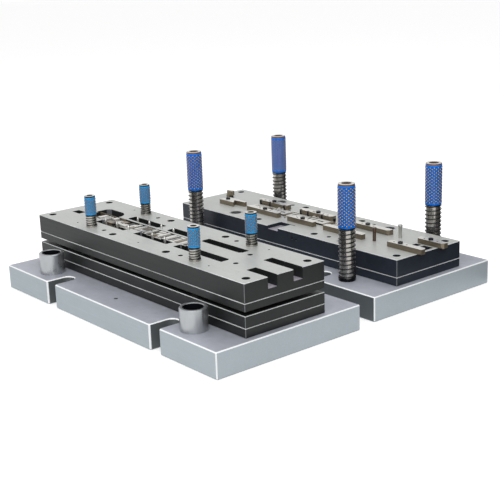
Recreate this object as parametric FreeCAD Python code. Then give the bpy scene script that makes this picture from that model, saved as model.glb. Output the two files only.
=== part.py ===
import FreeCAD, Part
import math
import os

from FreeCAD import Vector

os.makedirs("parts", exist_ok=True)

# A progressive stamping die, opened for the bench. The lower half stands at the origin with its
# guide posts up. The upper half lies beside it, turned over, so its stripper plate faces up.
# The origin is the centre of the lower shoe's underside. X runs along the strip's feed.

# Die set shoes
SHOE_L = 600.0
SHOE_W = 285.0
SHOE_T = 42.0
SHOE_CHAMFER = 1.6
CLAMP_SLOT_FROM_END = 149.0
CLAMP_SLOT_X = SHOE_L / 2 - CLAMP_SLOT_FROM_END
CLAMP_SLOT_W = 25.0
CLAMP_SLOT_DEPTH = 45.0
CLAMP_SLOT_CHAMFER = 2.2
HALVES_GAP = 40.0
LIFT_HOLE_Y = 110.0
LIFT_HOLE_R = 3.4
LIFT_HOLE_DEPTH = 20.0

# Where the turned-over upper half lies
UPPER_X = 8.0
UPPER_Y = -(SHOE_W + HALVES_GAP)

# Plate stacks
PLATE_L = 577.0
PLATE_W = 157.0
PLATE_CHAMFER = 0.9
PUNCH_BACKING_T = 15.0
PUNCH_PLATE_T = 18.5
STRIPPER_GAP = 6.0
STRIPPER_BACKING_T = 13.0
STRIPPER_T = 30.5
DIE_BACKING_T = 15.0
DIE_T = 30.0

# Main ball guides
POST_FROM_END = 96.0
POST_FROM_SIDE = 35.5
POST_X = SHOE_L / 2 - POST_FROM_END
POST_Y = SHOE_W / 2 - POST_FROM_SIDE
POST_R = 12.5
POST_TOP = 206.0
POST_SEAT = 2.0
POST_CHAMFER = 1.5
COLLAR_R = 14.6
COLLAR_T = 5.0
CAP_R = 14.2
CAP_T = 3.0
CAP_BORE_R = 8.5
CAP_BORE_DEPTH = 1.6
CAP_TO_CAGE = 0.3
CAGE_WALL = 1.7
CAGE_L = 70.0
BALL_D = 3.0
BUSH_WALL = 6.0
BUSH_STAND = 36.0
BUSH_CHAMFER = 1.2
SPRING_WIRE = 1.6
SPRING_TURNS = 11
COIL_FLATS = 10

# Inner ball guides, carried by the stripper
INNER_X = 146.0
INNER_Y = 56.5
INNER_R = 8.0
INNER_STAND = 54.5
INNER_REACH = 11.0
INNER_COLLAR_R = 9.6
INNER_COLLAR_T = 2.5
INNER_CAP_R = 9.3
INNER_CAP_T = 2.0
INNER_CAP_BORE_R = 5.2
INNER_CAP_BORE_DEPTH = 1.2
INNER_CAGE_WALL = 1.1
INNER_CAGE_L = 30.5
INNER_BALL_D = 2.0
INNER_SPRING_WIRE = 1.1
INNER_SPRING_TURNS = 4
INNER_BUSH_WALL = 3.2

# Clearances
FREE = 0.35
RUNNING = 0.05

# Strip: one station each pitch
PITCH = 35.0
FIRST_STATION_X = -152.0
STRIP_HALF_W = 18.5

# Stock rails on the die plate, as start, end and screw along the feed
RAIL_H = 9.0
RAIL_W = 13.0
RAIL_NOSE = 4.0
RAIL_LIP = 1.5
RAIL_STEP_H = 2.0
FRONT_RAILS = ((-143.0, -55.0, -97.0), (-27.0, 41.0, 8.0), (68.0, 164.0, 117.0), (223.0, 299.0, 247.0))
REAR_RAILS = ((-168.0, -86.0, -127.0), (-51.0, 37.0, -3.0), (61.0, 179.0, 124.0), (243.0, 301.0, 270.0))
RAIL_SCREW_HEAD_R = 4.25
RAIL_SCREW_HEAD_H = 5.0
RAIL_SCREW_SINK = 2.0
SOCKET_R = 2.2
SOCKET_DEPTH = 2.5
RAIL_DOWEL_R = 1.7
RAIL_DOWEL_STEP = 14.0
RAIL_DOWEL_DEPTH = 4.0

# Fixed pins that guide the strip's far edge, let into the rear rails' faces
STRIP_PIN_X = (-160.0, -133.0, -92.0, -45.0, -25.0, 13.0, 45.0)
STRIP_PIN_Y = 19.8
STRIP_PIN_R = 2.6
STRIP_PIN_SINK = 6.0
STRIP_PIN_LOW = 1.0

# Entry guide block, with a notch cut in its leading end, and the feed stop beside it
ENTRY_X0 = -227.0
ENTRY_X1 = -184.0
ENTRY_NOTCH = 12.0
ENTRY_TONGUE = 16.0
ENTRY_LEAD = 2.0
ENTRY_INNER_Y = -9.0
ENTRY_SCREW_IN_X = 13.0
ENTRY_SCREW_IN_Y = 11.0
STOP_L = 18.5
STOP_W = 9.0
STOP_H = 14.0
STOP_FOOT_H = 5.0
STOP_FOOT_SHARE = 0.55
STOP_PIN_R = 2.5
STOP_X = -252.0
STOP_Y = 17.0
STOP_CHAMFER = 1.2

# Stripper pockets, which clear the rails by this margin all round
POCKET_MARGIN = 2.5
POCKET_DEPTH = 18.0
MARK_HOLE_X = (-187.0, -1.5, 184.0)
MARK_HOLE_Y = 59.5
MARK_HOLE_R = 1.7
MARK_HOLE_DEPTH = 8.0

# The stripper's channel for its inserts
CHANNEL_Y0 = -18.0
CHANNEL_Y1 = 11.0
CHANNEL_RELIEF = 4.0

# Plate screws and dowels
SCREW_X = (-271.0, -75.5, 75.5, 271.0)
SCREW_Y = 60.0
SCREW_HEAD_R = 6.5
SCREW_HEAD_H = 8.0
SCREW_SINK = 8.0
SCREW_SOCKET_R = 3.4
SCREW_SOCKET_DEPTH = 4.0
DOWEL_X = 108.5
DOWEL_Y = 56.0
DOWEL_R = 4.0
DOWEL_SINK = 4.0
DOWEL_L = 20.0

# Die plate front pocket for a feed sensor, and its wire groove
SENSOR_X0 = -29.0
SENSOR_X1 = -1.0
SENSOR_DEPTH_Y = 33.5
SENSOR_DEPTH_Z = 6.0
GROOVE_L = 12.0
GROOVE_W = 2.0
FACE_HOLE_X = (37.0, 48.0)
FACE_HOLE_DROP = 12.0
FACE_HOLE_R = 1.8
FACE_HOLE_DEPTH = 12.0

# Die inserts let into the die plate along the strip. Each has its start, its end, the height of
# its form above the die plate, and the length of its die opening.
INSERT_DEPTH = 15.0
INSERT_HALF_W = 17.0
INSERTS = (
    (-168.0, -96.0, 0.0, 9.0),
    (-96.0, -52.0, 2.5, 12.0),
    (-52.0, 2.0, 1.5, 10.0),
    (2.0, 56.0, 3.0, 14.0),
    (56.0, 112.0, 0.0, 12.0),
)
FORM_SHARE_L = 0.62
FORM_SHARE_W = 0.7
OPENING_SHARE = 0.28

# Windows in the die plate that the finished part drops through, and the wider ways out below
DROP_X = ((246.0, 258.0), (264.0, 284.0))
DROP_HALF_W = 15.0
DROP_RELIEF = 2.0

# Slots below the inserts that the slugs drop through
SLUG_SLOTS = ((-142.0, -16.0), (18.0, 96.0))
SLUG_HALF_W = 7.5

# Guide lifters
LIFTER_X = (184.0, 203.0)
LIFTER_Y = (-21.0, 23.0)
LIFTER_R = 3.0
LIFTER_HEAD_R = 3.9
LIFTER_HEAD_H = 4.0
LIFTER_HEAD_CHAMFER = 1.0
LIFTER_STAND = 24.0
LIFTER_FLANGE_R = 4.5
LIFTER_FLANGE_T = 2.0
LIFTER_TRAVEL = 12.0
LIFTER_SPRING_HOLE = 25.0
LIFTER_SPRING_WIRE = 1.0
LIFTER_SPRING_R = 2.3
LIFTER_SPRING_TURNS = 6

# Pilots and punches
PILOT_R = 1.9
PILOT_TIP_R = 1.0
PILOT_TIP_L = 3.0
PILOT_STAND = 7.0
PILOT_FRONT_Y = -24.0
PILOT_REAR_Y = 19.5
PILOT_FRONT_STATIONS = (0, 1, 2, 4, 5)
PILOT_REAR_STATIONS = (1, 2, 3, 4)
PILOT_RELIEF = 3.0
PILOT_HOLE_DEPTH = 14.0
PUNCH_HEAD = 2.0
PUNCH_HEAD_T = 3.0
PUNCH_BACK = 1.2
PUNCHES = (
    (-195.0, -2.0, 5.0, 9.0),
    (-133.0, -9.0, 6.0, 3.0),
    (-100.0, -3.0, 3.5, 7.0),
    (-62.0, -10.0, 8.0, 2.5),
    (-22.0, -2.0, 7.0, 3.0),
    (30.0, -4.0, 4.0, 8.0),
)
# Stripper inserts: start, end and how far the face lies below the stripper's face
STRIPPER_INSERTS = (
    (-224.0, -168.0, 9.0),
    (-168.0, -118.0, 6.5),
    (-118.0, -80.0, 3.5),
    (-80.0, -40.0, 1.5),
    (-40.0, 4.0, 2.5),
    (4.0, 70.0, 0.6),
)

# Stripper bolts and springs
BOLT_X = (-232.0, 0.0, 232.0)
BOLT_Y = 62.0
BOLT_R = 5.0
BOLT_HEAD_R = 8.0
BOLT_HEAD_H = 10.0
BOLT_SEAT = 17.0
BOLT_GRIP = 9.0
PRESSURE_SPRING_X = 75.0
PRESSURE_SPRING_Y = 58.0
PRESSURE_SPRING_R = 7.5
PRESSURE_SPRING_WIRE = 2.4
PRESSURE_SPRING_TURNS = 4

# Heights that follow
UPPER_BACKING_Z = SHOE_T
PUNCH_PLATE_Z = UPPER_BACKING_Z + PUNCH_BACKING_T
PUNCH_TOP_Z = PUNCH_PLATE_Z + PUNCH_PLATE_T
STRIPPER_BACKING_Z = PUNCH_TOP_Z + STRIPPER_GAP
STRIPPER_Z = STRIPPER_BACKING_Z + STRIPPER_BACKING_T
STRIPPER_TOP = STRIPPER_Z + STRIPPER_T
DIE_Z = SHOE_T + DIE_BACKING_T
DIE_TOP = DIE_Z + DIE_T
RAIL_TOP = DIE_TOP + RAIL_H
CAGE_R = POST_R + FREE + CAGE_WALL
CAGE_TOP = POST_TOP - CAP_T - CAP_TO_CAGE
CAGE_BOTTOM = CAGE_TOP - CAGE_L
SPRING_FOOT = SHOE_T + COLLAR_T
BUSH_BORE_R = POST_R + BALL_D
BUSH_R = BUSH_BORE_R + BUSH_WALL
INNER_TOP = STRIPPER_TOP + INNER_STAND
INNER_CAGE_R = INNER_R + FREE + INNER_CAGE_WALL
INNER_CAGE_TOP = INNER_TOP - INNER_CAP_T - CAP_TO_CAGE
INNER_CAGE_BOTTOM = INNER_CAGE_TOP - INNER_CAGE_L
INNER_SPRING_FOOT = STRIPPER_TOP + INNER_COLLAR_T
INNER_BUSH_BORE_R = INNER_R + INNER_BALL_D
INNER_BUSH_R = INNER_BUSH_BORE_R + INNER_BUSH_WALL
CORNERS = ((-1, -1), (1, -1), (1, 1), (-1, 1))


def box(x0, x1, y0, y1, z0, z1):
    """A block between two corners."""
    return Part.makeBox(x1 - x0, y1 - y0, z1 - z0, Vector(x0, y0, z0))


def cylinder(x, y, z0, z1, r):
    """An upright cylinder."""
    return Part.makeCylinder(r, z1 - z0, Vector(x, y, z0))


def tube(x, y, z0, z1, bore, r):
    """An upright tube, square at both ends."""
    return cylinder(x, y, z0, z1, r).cut(cylinder(x, y, z0, z1, bore))


def prism(points, z0, z1):
    """An upright prism over an outline."""
    corners = [Vector(x, y, z0) for x, y in points]
    face = Part.Face(Part.makePolygon(corners + corners[:1]))
    return face.extrude(Vector(0, 0, z1 - z0))


def turned(profile, x, y):
    """A piece turned about an upright axis, from its half profile as radius and height."""
    corners = [Vector(r, 0, z) for r, z in profile]
    face = Part.Face(Part.makePolygon(corners + corners[:1]))
    solid = face.revolve(Vector(0, 0, 0), Vector(0, 0, 1), 360)
    solid.translate(Vector(x, y, 0))
    return solid


def hexagon(x, y, r):
    """The six corners of a hexagon socket."""
    angles = [math.radians(60 * k) for k in range(6)]
    return [(x + r * math.cos(angle), y + r * math.sin(angle)) for angle in angles]


def plate(length, width, z0, thickness, chamfer):
    """A ground plate with every outer edge broken."""
    block = box(-length / 2, length / 2, -width / 2, width / 2, z0, z0 + thickness)
    return block.makeChamfer(chamfer, block.Edges)


def bar(x0, x1, y_side, y_strip, z0, z1, nose):
    """A bar along the feed, its two corners on the strip's side cut back to lead the strip in."""
    inward = math.copysign(nose, y_side - y_strip)
    outline = [(x0, y_side), (x1, y_side), (x1, y_strip + inward), (x1 - nose, y_strip)]
    outline += [(x0 + nose, y_strip), (x0, y_strip + inward)]
    return prism(outline, z0, z1)


def coil(x, y, z0, z1, inner_r, wire, turns):
    """A compression spring of square wire.

    Each turn is drawn with a few flats, so the coil stays light, and the flats' middles
    stay outside the inner radius.
    """
    half = wire / 2
    low_r = inner_r / math.cos(math.pi / COIL_FLATS)
    high_r = low_r + wire
    steps = turns * COIL_FLATS
    rise = (z1 - z0 - wire) / steps
    sections = []
    for step in range(steps + 1):
        angle = 2 * math.pi * step / COIL_FLATS
        z = z0 + half + rise * step
        out = Vector(math.cos(angle), math.sin(angle), 0)
        centre = Vector(x, y, z)
        up = Vector(0, 0, half)
        sections.append((centre + out * low_r - up, centre + out * high_r - up,
                         centre + out * high_r + up, centre + out * low_r + up))
    ends = (sections[0], sections[-1])
    faces = [Part.Face(Part.makePolygon(list(end) + [end[0]])) for end in ends]
    for low, high in zip(sections, sections[1:]):
        for k in range(4):
            a, b = low[k], low[(k + 1) % 4]
            c, d = high[(k + 1) % 4], high[k]
            faces.append(Part.Face(Part.makePolygon([a, b, c, a])))
            faces.append(Part.Face(Part.makePolygon([a, c, d, a])))
    shell = Part.makeShell(faces)
    shell.sewShape()
    solid = Part.Solid(shell)
    if solid.Volume < 0:
        solid.reverse()
    return solid


def socket_screws(places, z_seat, head_r, head_h, socket_r, socket_depth):
    """Socket head screws, seen as their heads, standing on their seats."""
    heads = []
    for x, y in places:
        head = cylinder(x, y, z_seat, z_seat + head_h, head_r)
        top = z_seat + head_h
        heads.append(head.cut(prism(hexagon(x, y, socket_r), top - socket_depth, top)))
    return Part.makeCompound(heads)


def dowels(foot):
    """The four dowels of one plate."""
    return Part.makeCompound([cylinder(x, y, foot, foot + DOWEL_L, DOWEL_R) for x, y in dowel_places])


def save(name, shape):
    """Write one piece, or one group of like pieces."""
    shape.exportStep("parts/" + name + ".step")


def upper(shape):
    """Move a piece of the upper half to where that half lies."""
    moved = shape.copy()
    moved.translate(Vector(UPPER_X, UPPER_Y, 0))
    return moved


# Places shared by several pieces
screw_places = [(x, side * SCREW_Y) for x in SCREW_X for side in (-1, 1)]
dowel_places = [(sx * DOWEL_X, sy * DOWEL_Y) for sx, sy in CORNERS]
post_places = [(sx * POST_X, sy * POST_Y) for sx, sy in CORNERS]
inner_places = [(sx * INNER_X, sy * INNER_Y) for sx, sy in CORNERS]
bolt_places = [(x, side * BOLT_Y) for x in BOLT_X for side in (-1, 1)]
lifter_places = list(zip(LIFTER_X, LIFTER_Y))
front_pilots = [FIRST_STATION_X + PITCH * k for k in PILOT_FRONT_STATIONS]
rear_pilots = [FIRST_STATION_X + PITCH * k for k in PILOT_REAR_STATIONS]
pilot_places = [(x, PILOT_FRONT_Y) for x in front_pilots] + [(x, PILOT_REAR_Y) for x in rear_pilots]
pilot_hole_r = PILOT_R + FREE


def upright_edges(solid, half_w):
    """The upright edges on a shoe's two long sides."""
    return [edge for edge in solid.Edges
            if edge.BoundBox.ZLength > SHOE_T / 2 and abs(edge.CenterOfMass.y) > half_w - SHOE_CHAMFER]


def shoe():
    """The aluminium shoe of either half: a thick plate with a clamp slot near each corner."""
    half_l = SHOE_L / 2
    half_w = SHOE_W / 2
    solid = box(-half_l, half_l, -half_w, half_w, 0, SHOE_T)
    r = CLAMP_SLOT_W / 2
    for sx, sy in CORNERS:
        x = sx * CLAMP_SLOT_X
        edge = sy * half_w
        end = edge - sy * (CLAMP_SLOT_DEPTH - r)
        slot = box(x - r, x + r, min(edge, end), max(edge, end), 0, SHOE_T)
        solid = solid.cut(slot.fuse(cylinder(x, end, 0, SHOE_T, r)))
    mouths = [edge for edge in upright_edges(solid, half_w)
              if abs(edge.CenterOfMass.x) < half_l - SHOE_CHAMFER]
    solid = solid.makeChamfer(CLAMP_SLOT_CHAMFER, mouths)
    corners = [edge for edge in upright_edges(solid, half_w)
               if abs(edge.CenterOfMass.x) > half_l - SHOE_CHAMFER]
    rims = [edge for edge in solid.Edges if edge.BoundBox.ZLength < SHOE_CHAMFER]
    solid = solid.makeChamfer(SHOE_CHAMFER, corners + rims)
    for side in (-1, 1):
        hole = cylinder(0, side * LIFT_HOLE_Y, SHOE_T - LIFT_HOLE_DEPTH, SHOE_T, LIFT_HOLE_R)
        solid = solid.cut(hole)
    return solid


# Lower half: shoe, backing plate and die plate
lower_shoe = shoe()
for x, y in post_places:
    lower_shoe = lower_shoe.cut(cylinder(x, y, 0, SHOE_T, POST_R))
lifter_hole_r = LIFTER_FLANGE_R + FREE
for x, y in lifter_places:
    hole = cylinder(x, y, SHOE_T - LIFTER_SPRING_HOLE, SHOE_T, lifter_hole_r)
    lower_shoe = lower_shoe.cut(hole)
drop_x0 = DROP_X[0][0] - DROP_RELIEF
drop_x1 = DROP_X[-1][1] + DROP_RELIEF
drop_half_w = DROP_HALF_W + DROP_RELIEF
lower_shoe = lower_shoe.cut(box(drop_x0, drop_x1, -drop_half_w, drop_half_w, 0, SHOE_T))
for start, end in SLUG_SLOTS:
    lower_shoe = lower_shoe.cut(box(start, end, -SLUG_HALF_W, SLUG_HALF_W, 0, SHOE_T))
save("lower_shoe", lower_shoe)

die_backing = plate(PLATE_L, PLATE_W, SHOE_T, DIE_BACKING_T, PLATE_CHAMFER)
for x, y in lifter_places:
    die_backing = die_backing.cut(cylinder(x, y, SHOE_T, DIE_Z, lifter_hole_r))
for x, y in inner_places:
    die_backing = die_backing.cut(cylinder(x, y, SHOE_T, DIE_Z, INNER_BUSH_BORE_R))
for start, end in DROP_X:
    die_backing = die_backing.cut(box(start, end, -DROP_HALF_W, DROP_HALF_W, SHOE_T, DIE_Z))
for start, end in SLUG_SLOTS:
    die_backing = die_backing.cut(box(start, end, -SLUG_HALF_W, SLUG_HALF_W, SHOE_T, DIE_Z))
save("die_backing_plate", die_backing)

die_plate = plate(PLATE_L, PLATE_W, DIE_Z, DIE_T, PLATE_CHAMFER)
die_screw_seat = DIE_TOP - SCREW_SINK - SCREW_HEAD_H
die_dowel_foot = DIE_TOP - DOWEL_SINK - DOWEL_L
for x, y in screw_places:
    die_plate = die_plate.cut(cylinder(x, y, die_screw_seat, DIE_TOP, SCREW_HEAD_R))
for x, y in dowel_places:
    die_plate = die_plate.cut(cylinder(x, y, die_dowel_foot, DIE_TOP, DOWEL_R))
for x, y in inner_places:
    die_plate = die_plate.cut(cylinder(x, y, DIE_Z, DIE_TOP, INNER_BUSH_R))
for x, y in lifter_places:
    die_plate = die_plate.cut(cylinder(x, y, DIE_Z, DIE_TOP, LIFTER_R + RUNNING))
front = -PLATE_W / 2
sensor_floor = DIE_TOP - SENSOR_DEPTH_Z
groove_y = front + SENSOR_DEPTH_Y
groove_x = SENSOR_X1 + GROOVE_L
die_plate = die_plate.cut(box(SENSOR_X0, SENSOR_X1, front, groove_y, sensor_floor, DIE_TOP))
die_plate = die_plate.cut(box(SENSOR_X1, groove_x, groove_y - GROOVE_W, groove_y, sensor_floor, DIE_TOP))
for x in FACE_HOLE_X:
    mouth = Vector(x, front, DIE_TOP - FACE_HOLE_DROP)
    die_plate = die_plate.cut(Part.makeCylinder(FACE_HOLE_R, FACE_HOLE_DEPTH, mouth, Vector(0, 1, 0)))

# Die inserts: each lies in the channel between the rails and shows its own working form on top
insert_floor = DIE_TOP - INSERT_DEPTH
channel_start = INSERTS[0][0]
channel_end = INSERTS[-1][1]
channel = box(channel_start, channel_end, -INSERT_HALF_W, INSERT_HALF_W, insert_floor, DIE_TOP)
die_plate = die_plate.cut(channel)
for start, end in SLUG_SLOTS:
    die_plate = die_plate.cut(box(start, end, -SLUG_HALF_W, SLUG_HALF_W, DIE_Z, insert_floor))
inserts = []
for start, end, proud, opening in INSERTS:
    piece = box(start, end, -INSERT_HALF_W, INSERT_HALF_W, insert_floor, DIE_TOP)
    middle = (start + end) / 2
    if proud > 0:
        form_l = (end - start) * FORM_SHARE_L
        form_w = INSERT_HALF_W * FORM_SHARE_W
        form = box(middle - form_l / 2, middle + form_l / 2, -form_w, form_w, DIE_TOP, DIE_TOP + proud)
        piece = piece.fuse(form).removeSplitter()
    half_l = opening / 2
    half_w = half_l * OPENING_SHARE
    hole = box(middle - half_l, middle + half_l, -half_w, half_w, insert_floor, DIE_TOP + proud)
    inserts.append(piece.cut(hole))
save("die_inserts", Part.makeCompound(inserts))

for start, end in DROP_X:
    die_plate = die_plate.cut(box(start, end, -DROP_HALF_W, DROP_HALF_W, DIE_Z, DIE_TOP))

# The halves close by turning over, so a pilot at y enters the rail and the die plate at -y
pilot_holes = [cylinder(x, -y, DIE_TOP - PILOT_HOLE_DEPTH, RAIL_TOP, pilot_hole_r) for x, y in pilot_places]
for hole in pilot_holes:
    die_plate = die_plate.cut(hole)
strip_pins = [cylinder(x, STRIP_PIN_Y, DIE_TOP - STRIP_PIN_SINK, RAIL_TOP - STRIP_PIN_LOW, STRIP_PIN_R)
              for x in STRIP_PIN_X]
pin_holes = [cylinder(x, STRIP_PIN_Y, DIE_TOP - STRIP_PIN_SINK, RAIL_TOP, STRIP_PIN_R) for x in STRIP_PIN_X]
for hole in pin_holes:
    die_plate = die_plate.cut(hole)
save("die_plate", die_plate)

# Rails, each held by one screw
rail_screw_places = []
rail_screw_seat = RAIL_TOP - RAIL_SCREW_SINK
rail_outer_y = STRIP_HALF_W + RAIL_W
for label, side, spans in (("front", -1, FRONT_RAILS), ("rear", 1, REAR_RAILS)):
    for number, (start, end, screw_x) in enumerate(spans, 1):
        rail = bar(start, end, side * rail_outer_y, side * STRIP_HALF_W, DIE_TOP, RAIL_TOP, RAIL_NOSE)
        strip_y = side * STRIP_HALF_W
        step_y = side * (STRIP_HALF_W + RAIL_LIP)
        low_y, high_y = sorted((strip_y, step_y))
        rail = rail.cut(box(start, end, low_y, high_y, DIE_TOP, DIE_TOP + RAIL_STEP_H))
        y = side * (STRIP_HALF_W + RAIL_W / 2)
        rail = rail.cut(cylinder(screw_x, y, rail_screw_seat, RAIL_TOP, RAIL_SCREW_HEAD_R))
        for hole in pilot_holes + pin_holes:
            rail = rail.cut(hole)
        for step in (-RAIL_DOWEL_STEP, RAIL_DOWEL_STEP):
            rail = rail.cut(cylinder(screw_x + step, y, RAIL_TOP - RAIL_DOWEL_DEPTH, RAIL_TOP, RAIL_DOWEL_R))
        rail_screw_places.append((screw_x, y))
        save(label + "_rail_" + str(number), rail)

# Entry guide block with its tongue, and the feed stop
entry_y = -(STRIP_HALF_W + RAIL_W)
outline = [(ENTRY_X0, entry_y), (ENTRY_X1, entry_y), (ENTRY_X1 - ENTRY_NOTCH, entry_y + RAIL_W),
           (ENTRY_X1 + ENTRY_TONGUE, entry_y + RAIL_W + ENTRY_LEAD),
           (ENTRY_X1 + ENTRY_TONGUE, ENTRY_INNER_Y - ENTRY_LEAD), (ENTRY_X1 - ENTRY_NOTCH, ENTRY_INNER_Y),
           (ENTRY_X0, ENTRY_INNER_Y)]
entry = prism(outline, DIE_TOP, RAIL_TOP)
entry_screw = (ENTRY_X0 + ENTRY_SCREW_IN_X, entry_y + ENTRY_SCREW_IN_Y)
entry = entry.cut(cylinder(*entry_screw, rail_screw_seat, RAIL_TOP, RAIL_SCREW_HEAD_R))
rail_screw_places.append(entry_screw)
save("entry_guide_block", entry)
save("rail_screws", socket_screws(rail_screw_places, rail_screw_seat, RAIL_SCREW_HEAD_R, RAIL_SCREW_HEAD_H,
                                  SOCKET_R, SOCKET_DEPTH))
stop_x0 = STOP_X - STOP_L / 2
stop_x1 = STOP_X + STOP_L / 2
stop_y0 = STOP_Y - STOP_W / 2
stop_y1 = STOP_Y + STOP_W / 2
stop_r = STOP_W / 2
stop_z = DIE_TOP + STOP_FOOT_H
stop_top = DIE_TOP + STOP_H
stop = box(stop_x0 + stop_r, stop_x1 - stop_r, stop_y0, stop_y1, stop_z, stop_top)
for x in (stop_x0 + stop_r, stop_x1 - stop_r):
    stop = stop.fuse(cylinder(x, STOP_Y, stop_z, stop_top, stop_r))
stop = stop.removeSplitter()
stop_rim = [edge for edge in stop.Edges if edge.BoundBox.ZMin > stop_top - STOP_CHAMFER]
stop = stop.makeChamfer(STOP_CHAMFER, stop_rim)
foot = box(stop_x0 + STOP_CHAMFER, stop_x0 + STOP_L * STOP_FOOT_SHARE, stop_y0, stop_y1, DIE_TOP, stop_z)
save("feed_stop", stop.fuse(foot))
strip_pins.append(cylinder(stop_x1 - stop_r, STOP_Y, DIE_TOP, stop_z, STOP_PIN_R))
save("strip_pins", Part.makeCompound(strip_pins))

save("die_plate_screws", socket_screws(screw_places, die_screw_seat, SCREW_HEAD_R, SCREW_HEAD_H,
                                       SCREW_SOCKET_R, SCREW_SOCKET_DEPTH))
save("die_dowels", dowels(die_dowel_foot))
bush_tubes = [tube(x, y, DIE_Z, DIE_TOP, INNER_BUSH_BORE_R, INNER_BUSH_R) for x, y in inner_places]
save("die_bushes", Part.makeCompound(bush_tubes))

# Guide posts with their collars and caps, the springs round them and the ball cages on them
caps = []
for number, (x, y) in enumerate(post_places, 1):
    cap_z = POST_TOP - CAP_T
    post_profile = [(0, POST_SEAT), (POST_R, POST_SEAT), (POST_R, SHOE_T), (COLLAR_R, SHOE_T),
                    (COLLAR_R, SPRING_FOOT), (POST_R, SPRING_FOOT), (POST_R, cap_z - POST_CHAMFER),
                    (POST_R - POST_CHAMFER, cap_z), (0, cap_z)]
    save("guide_post_" + str(number), turned(post_profile, x, y))
    cap = cylinder(x, y, cap_z, POST_TOP, CAP_R)
    caps.append(cap.cut(cylinder(x, y, POST_TOP - CAP_BORE_DEPTH, POST_TOP, CAP_BORE_R)))
    spring = coil(x, y, SPRING_FOOT, CAGE_BOTTOM, POST_R + FREE, SPRING_WIRE, SPRING_TURNS)
    save("post_spring_" + str(number), spring)
    save("ball_cage_" + str(number), tube(x, y, CAGE_BOTTOM, CAGE_TOP, POST_R + FREE, CAGE_R))
save("post_caps", Part.makeCompound(caps))

# Guide lifters, held down in the die plate by their flanges and pushed up by springs
for number, (x, y) in enumerate(lifter_places, 1):
    foot = DIE_Z - LIFTER_FLANGE_T
    top = DIE_TOP + LIFTER_STAND
    neck = top - LIFTER_HEAD_H
    profile = [(0, foot), (LIFTER_FLANGE_R, foot), (LIFTER_FLANGE_R, DIE_Z), (LIFTER_R, DIE_Z),
               (LIFTER_R, neck), (LIFTER_HEAD_R, neck), (LIFTER_HEAD_R, top - LIFTER_HEAD_CHAMFER),
               (LIFTER_HEAD_R - LIFTER_HEAD_CHAMFER, top), (0, top)]
    save("guide_lifter_" + str(number), turned(profile, x, y))
    spring = coil(x, y, SHOE_T - LIFTER_SPRING_HOLE, foot, LIFTER_SPRING_R, LIFTER_SPRING_WIRE,
                  LIFTER_SPRING_TURNS)
    save("lifter_spring_" + str(number), spring)

# Upper half: shoe with the pressed-in bushes and the counterbores of the stripper bolts
upper_shoe = shoe()
for x, y in post_places:
    upper_shoe = upper_shoe.cut(cylinder(x, y, 0, SHOE_T, BUSH_R))
bolt_clear = BOLT_R + FREE
for x, y in bolt_places:
    upper_shoe = upper_shoe.cut(cylinder(x, y, 0, BOLT_SEAT, BOLT_HEAD_R + FREE))
    upper_shoe = upper_shoe.cut(cylinder(x, y, BOLT_SEAT, SHOE_T, bolt_clear))
save("upper_shoe", upper(upper_shoe))

bushes = []
for x, y in post_places:
    bush = [(BUSH_BORE_R, 0), (BUSH_R, 0), (BUSH_R, SHOE_T + BUSH_STAND - BUSH_CHAMFER),
            (BUSH_R - BUSH_CHAMFER, SHOE_T + BUSH_STAND), (BUSH_BORE_R + BUSH_CHAMFER, SHOE_T + BUSH_STAND),
            (BUSH_BORE_R, SHOE_T + BUSH_STAND - BUSH_CHAMFER)]
    bushes.append(turned(bush, x, y))
save("guide_bushes", upper(Part.makeCompound(bushes)))

punch_backing = plate(PLATE_L, PLATE_W, UPPER_BACKING_Z, PUNCH_BACKING_T, PLATE_CHAMFER)
punch_plate = plate(PLATE_L, PLATE_W, PUNCH_PLATE_Z, PUNCH_PLATE_T, PLATE_CHAMFER)
pressure_places = [(sx * PRESSURE_SPRING_X, sy * PRESSURE_SPRING_Y) for sx, sy in CORNERS]
pressure_r = (PRESSURE_SPRING_R / math.cos(math.pi / COIL_FLATS)) + PRESSURE_SPRING_WIRE + FREE
for x, y in pressure_places:
    punch_backing = punch_backing.cut(cylinder(x, y, UPPER_BACKING_Z, PUNCH_PLATE_Z, pressure_r))
    punch_plate = punch_plate.cut(cylinder(x, y, PUNCH_PLATE_Z, PUNCH_TOP_Z, pressure_r))
for x, y in bolt_places:
    punch_backing = punch_backing.cut(cylinder(x, y, UPPER_BACKING_Z, PUNCH_PLATE_Z, bolt_clear))
    punch_plate = punch_plate.cut(cylinder(x, y, PUNCH_PLATE_Z, PUNCH_TOP_Z, bolt_clear))
for x, y in inner_places:
    punch_plate = punch_plate.cut(cylinder(x, y, PUNCH_PLATE_Z, PUNCH_TOP_Z, INNER_R + RUNNING))
save("punch_backing_plate", upper(punch_backing))

# Pilots stand in two rows a pitch apart, and punches between them
pilot_top = STRIPPER_TOP + PILOT_STAND
pilots = []
for x, y in pilot_places:
    profile = [(0, PUNCH_PLATE_Z), (PILOT_R, PUNCH_PLATE_Z), (PILOT_R, pilot_top - PILOT_TIP_L),
               (PILOT_TIP_R, pilot_top), (0, pilot_top)]
    pilots.append(turned(profile, x, y))
    punch_plate = punch_plate.cut(cylinder(x, y, PUNCH_PLATE_Z, PUNCH_TOP_Z, PILOT_R))
save("pilots", upper(Part.makeCompound(pilots)))

punches = []
for x, y, half_x, half_y in PUNCHES:
    head_z = PUNCH_PLATE_Z + PUNCH_HEAD_T
    head = box(x - half_x - PUNCH_HEAD, x + half_x + PUNCH_HEAD, y - half_y, y + half_y, PUNCH_PLATE_Z, head_z)
    stem = box(x - half_x, x + half_x, y - half_y, y + half_y, PUNCH_PLATE_Z, STRIPPER_TOP - PUNCH_BACK)
    punch = head.fuse(stem).removeSplitter()
    punches.append(punch)
    punch_plate = punch_plate.cut(punch)
save("punches", upper(Part.makeCompound(punches)))
save("punch_plate", upper(punch_plate))

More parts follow.
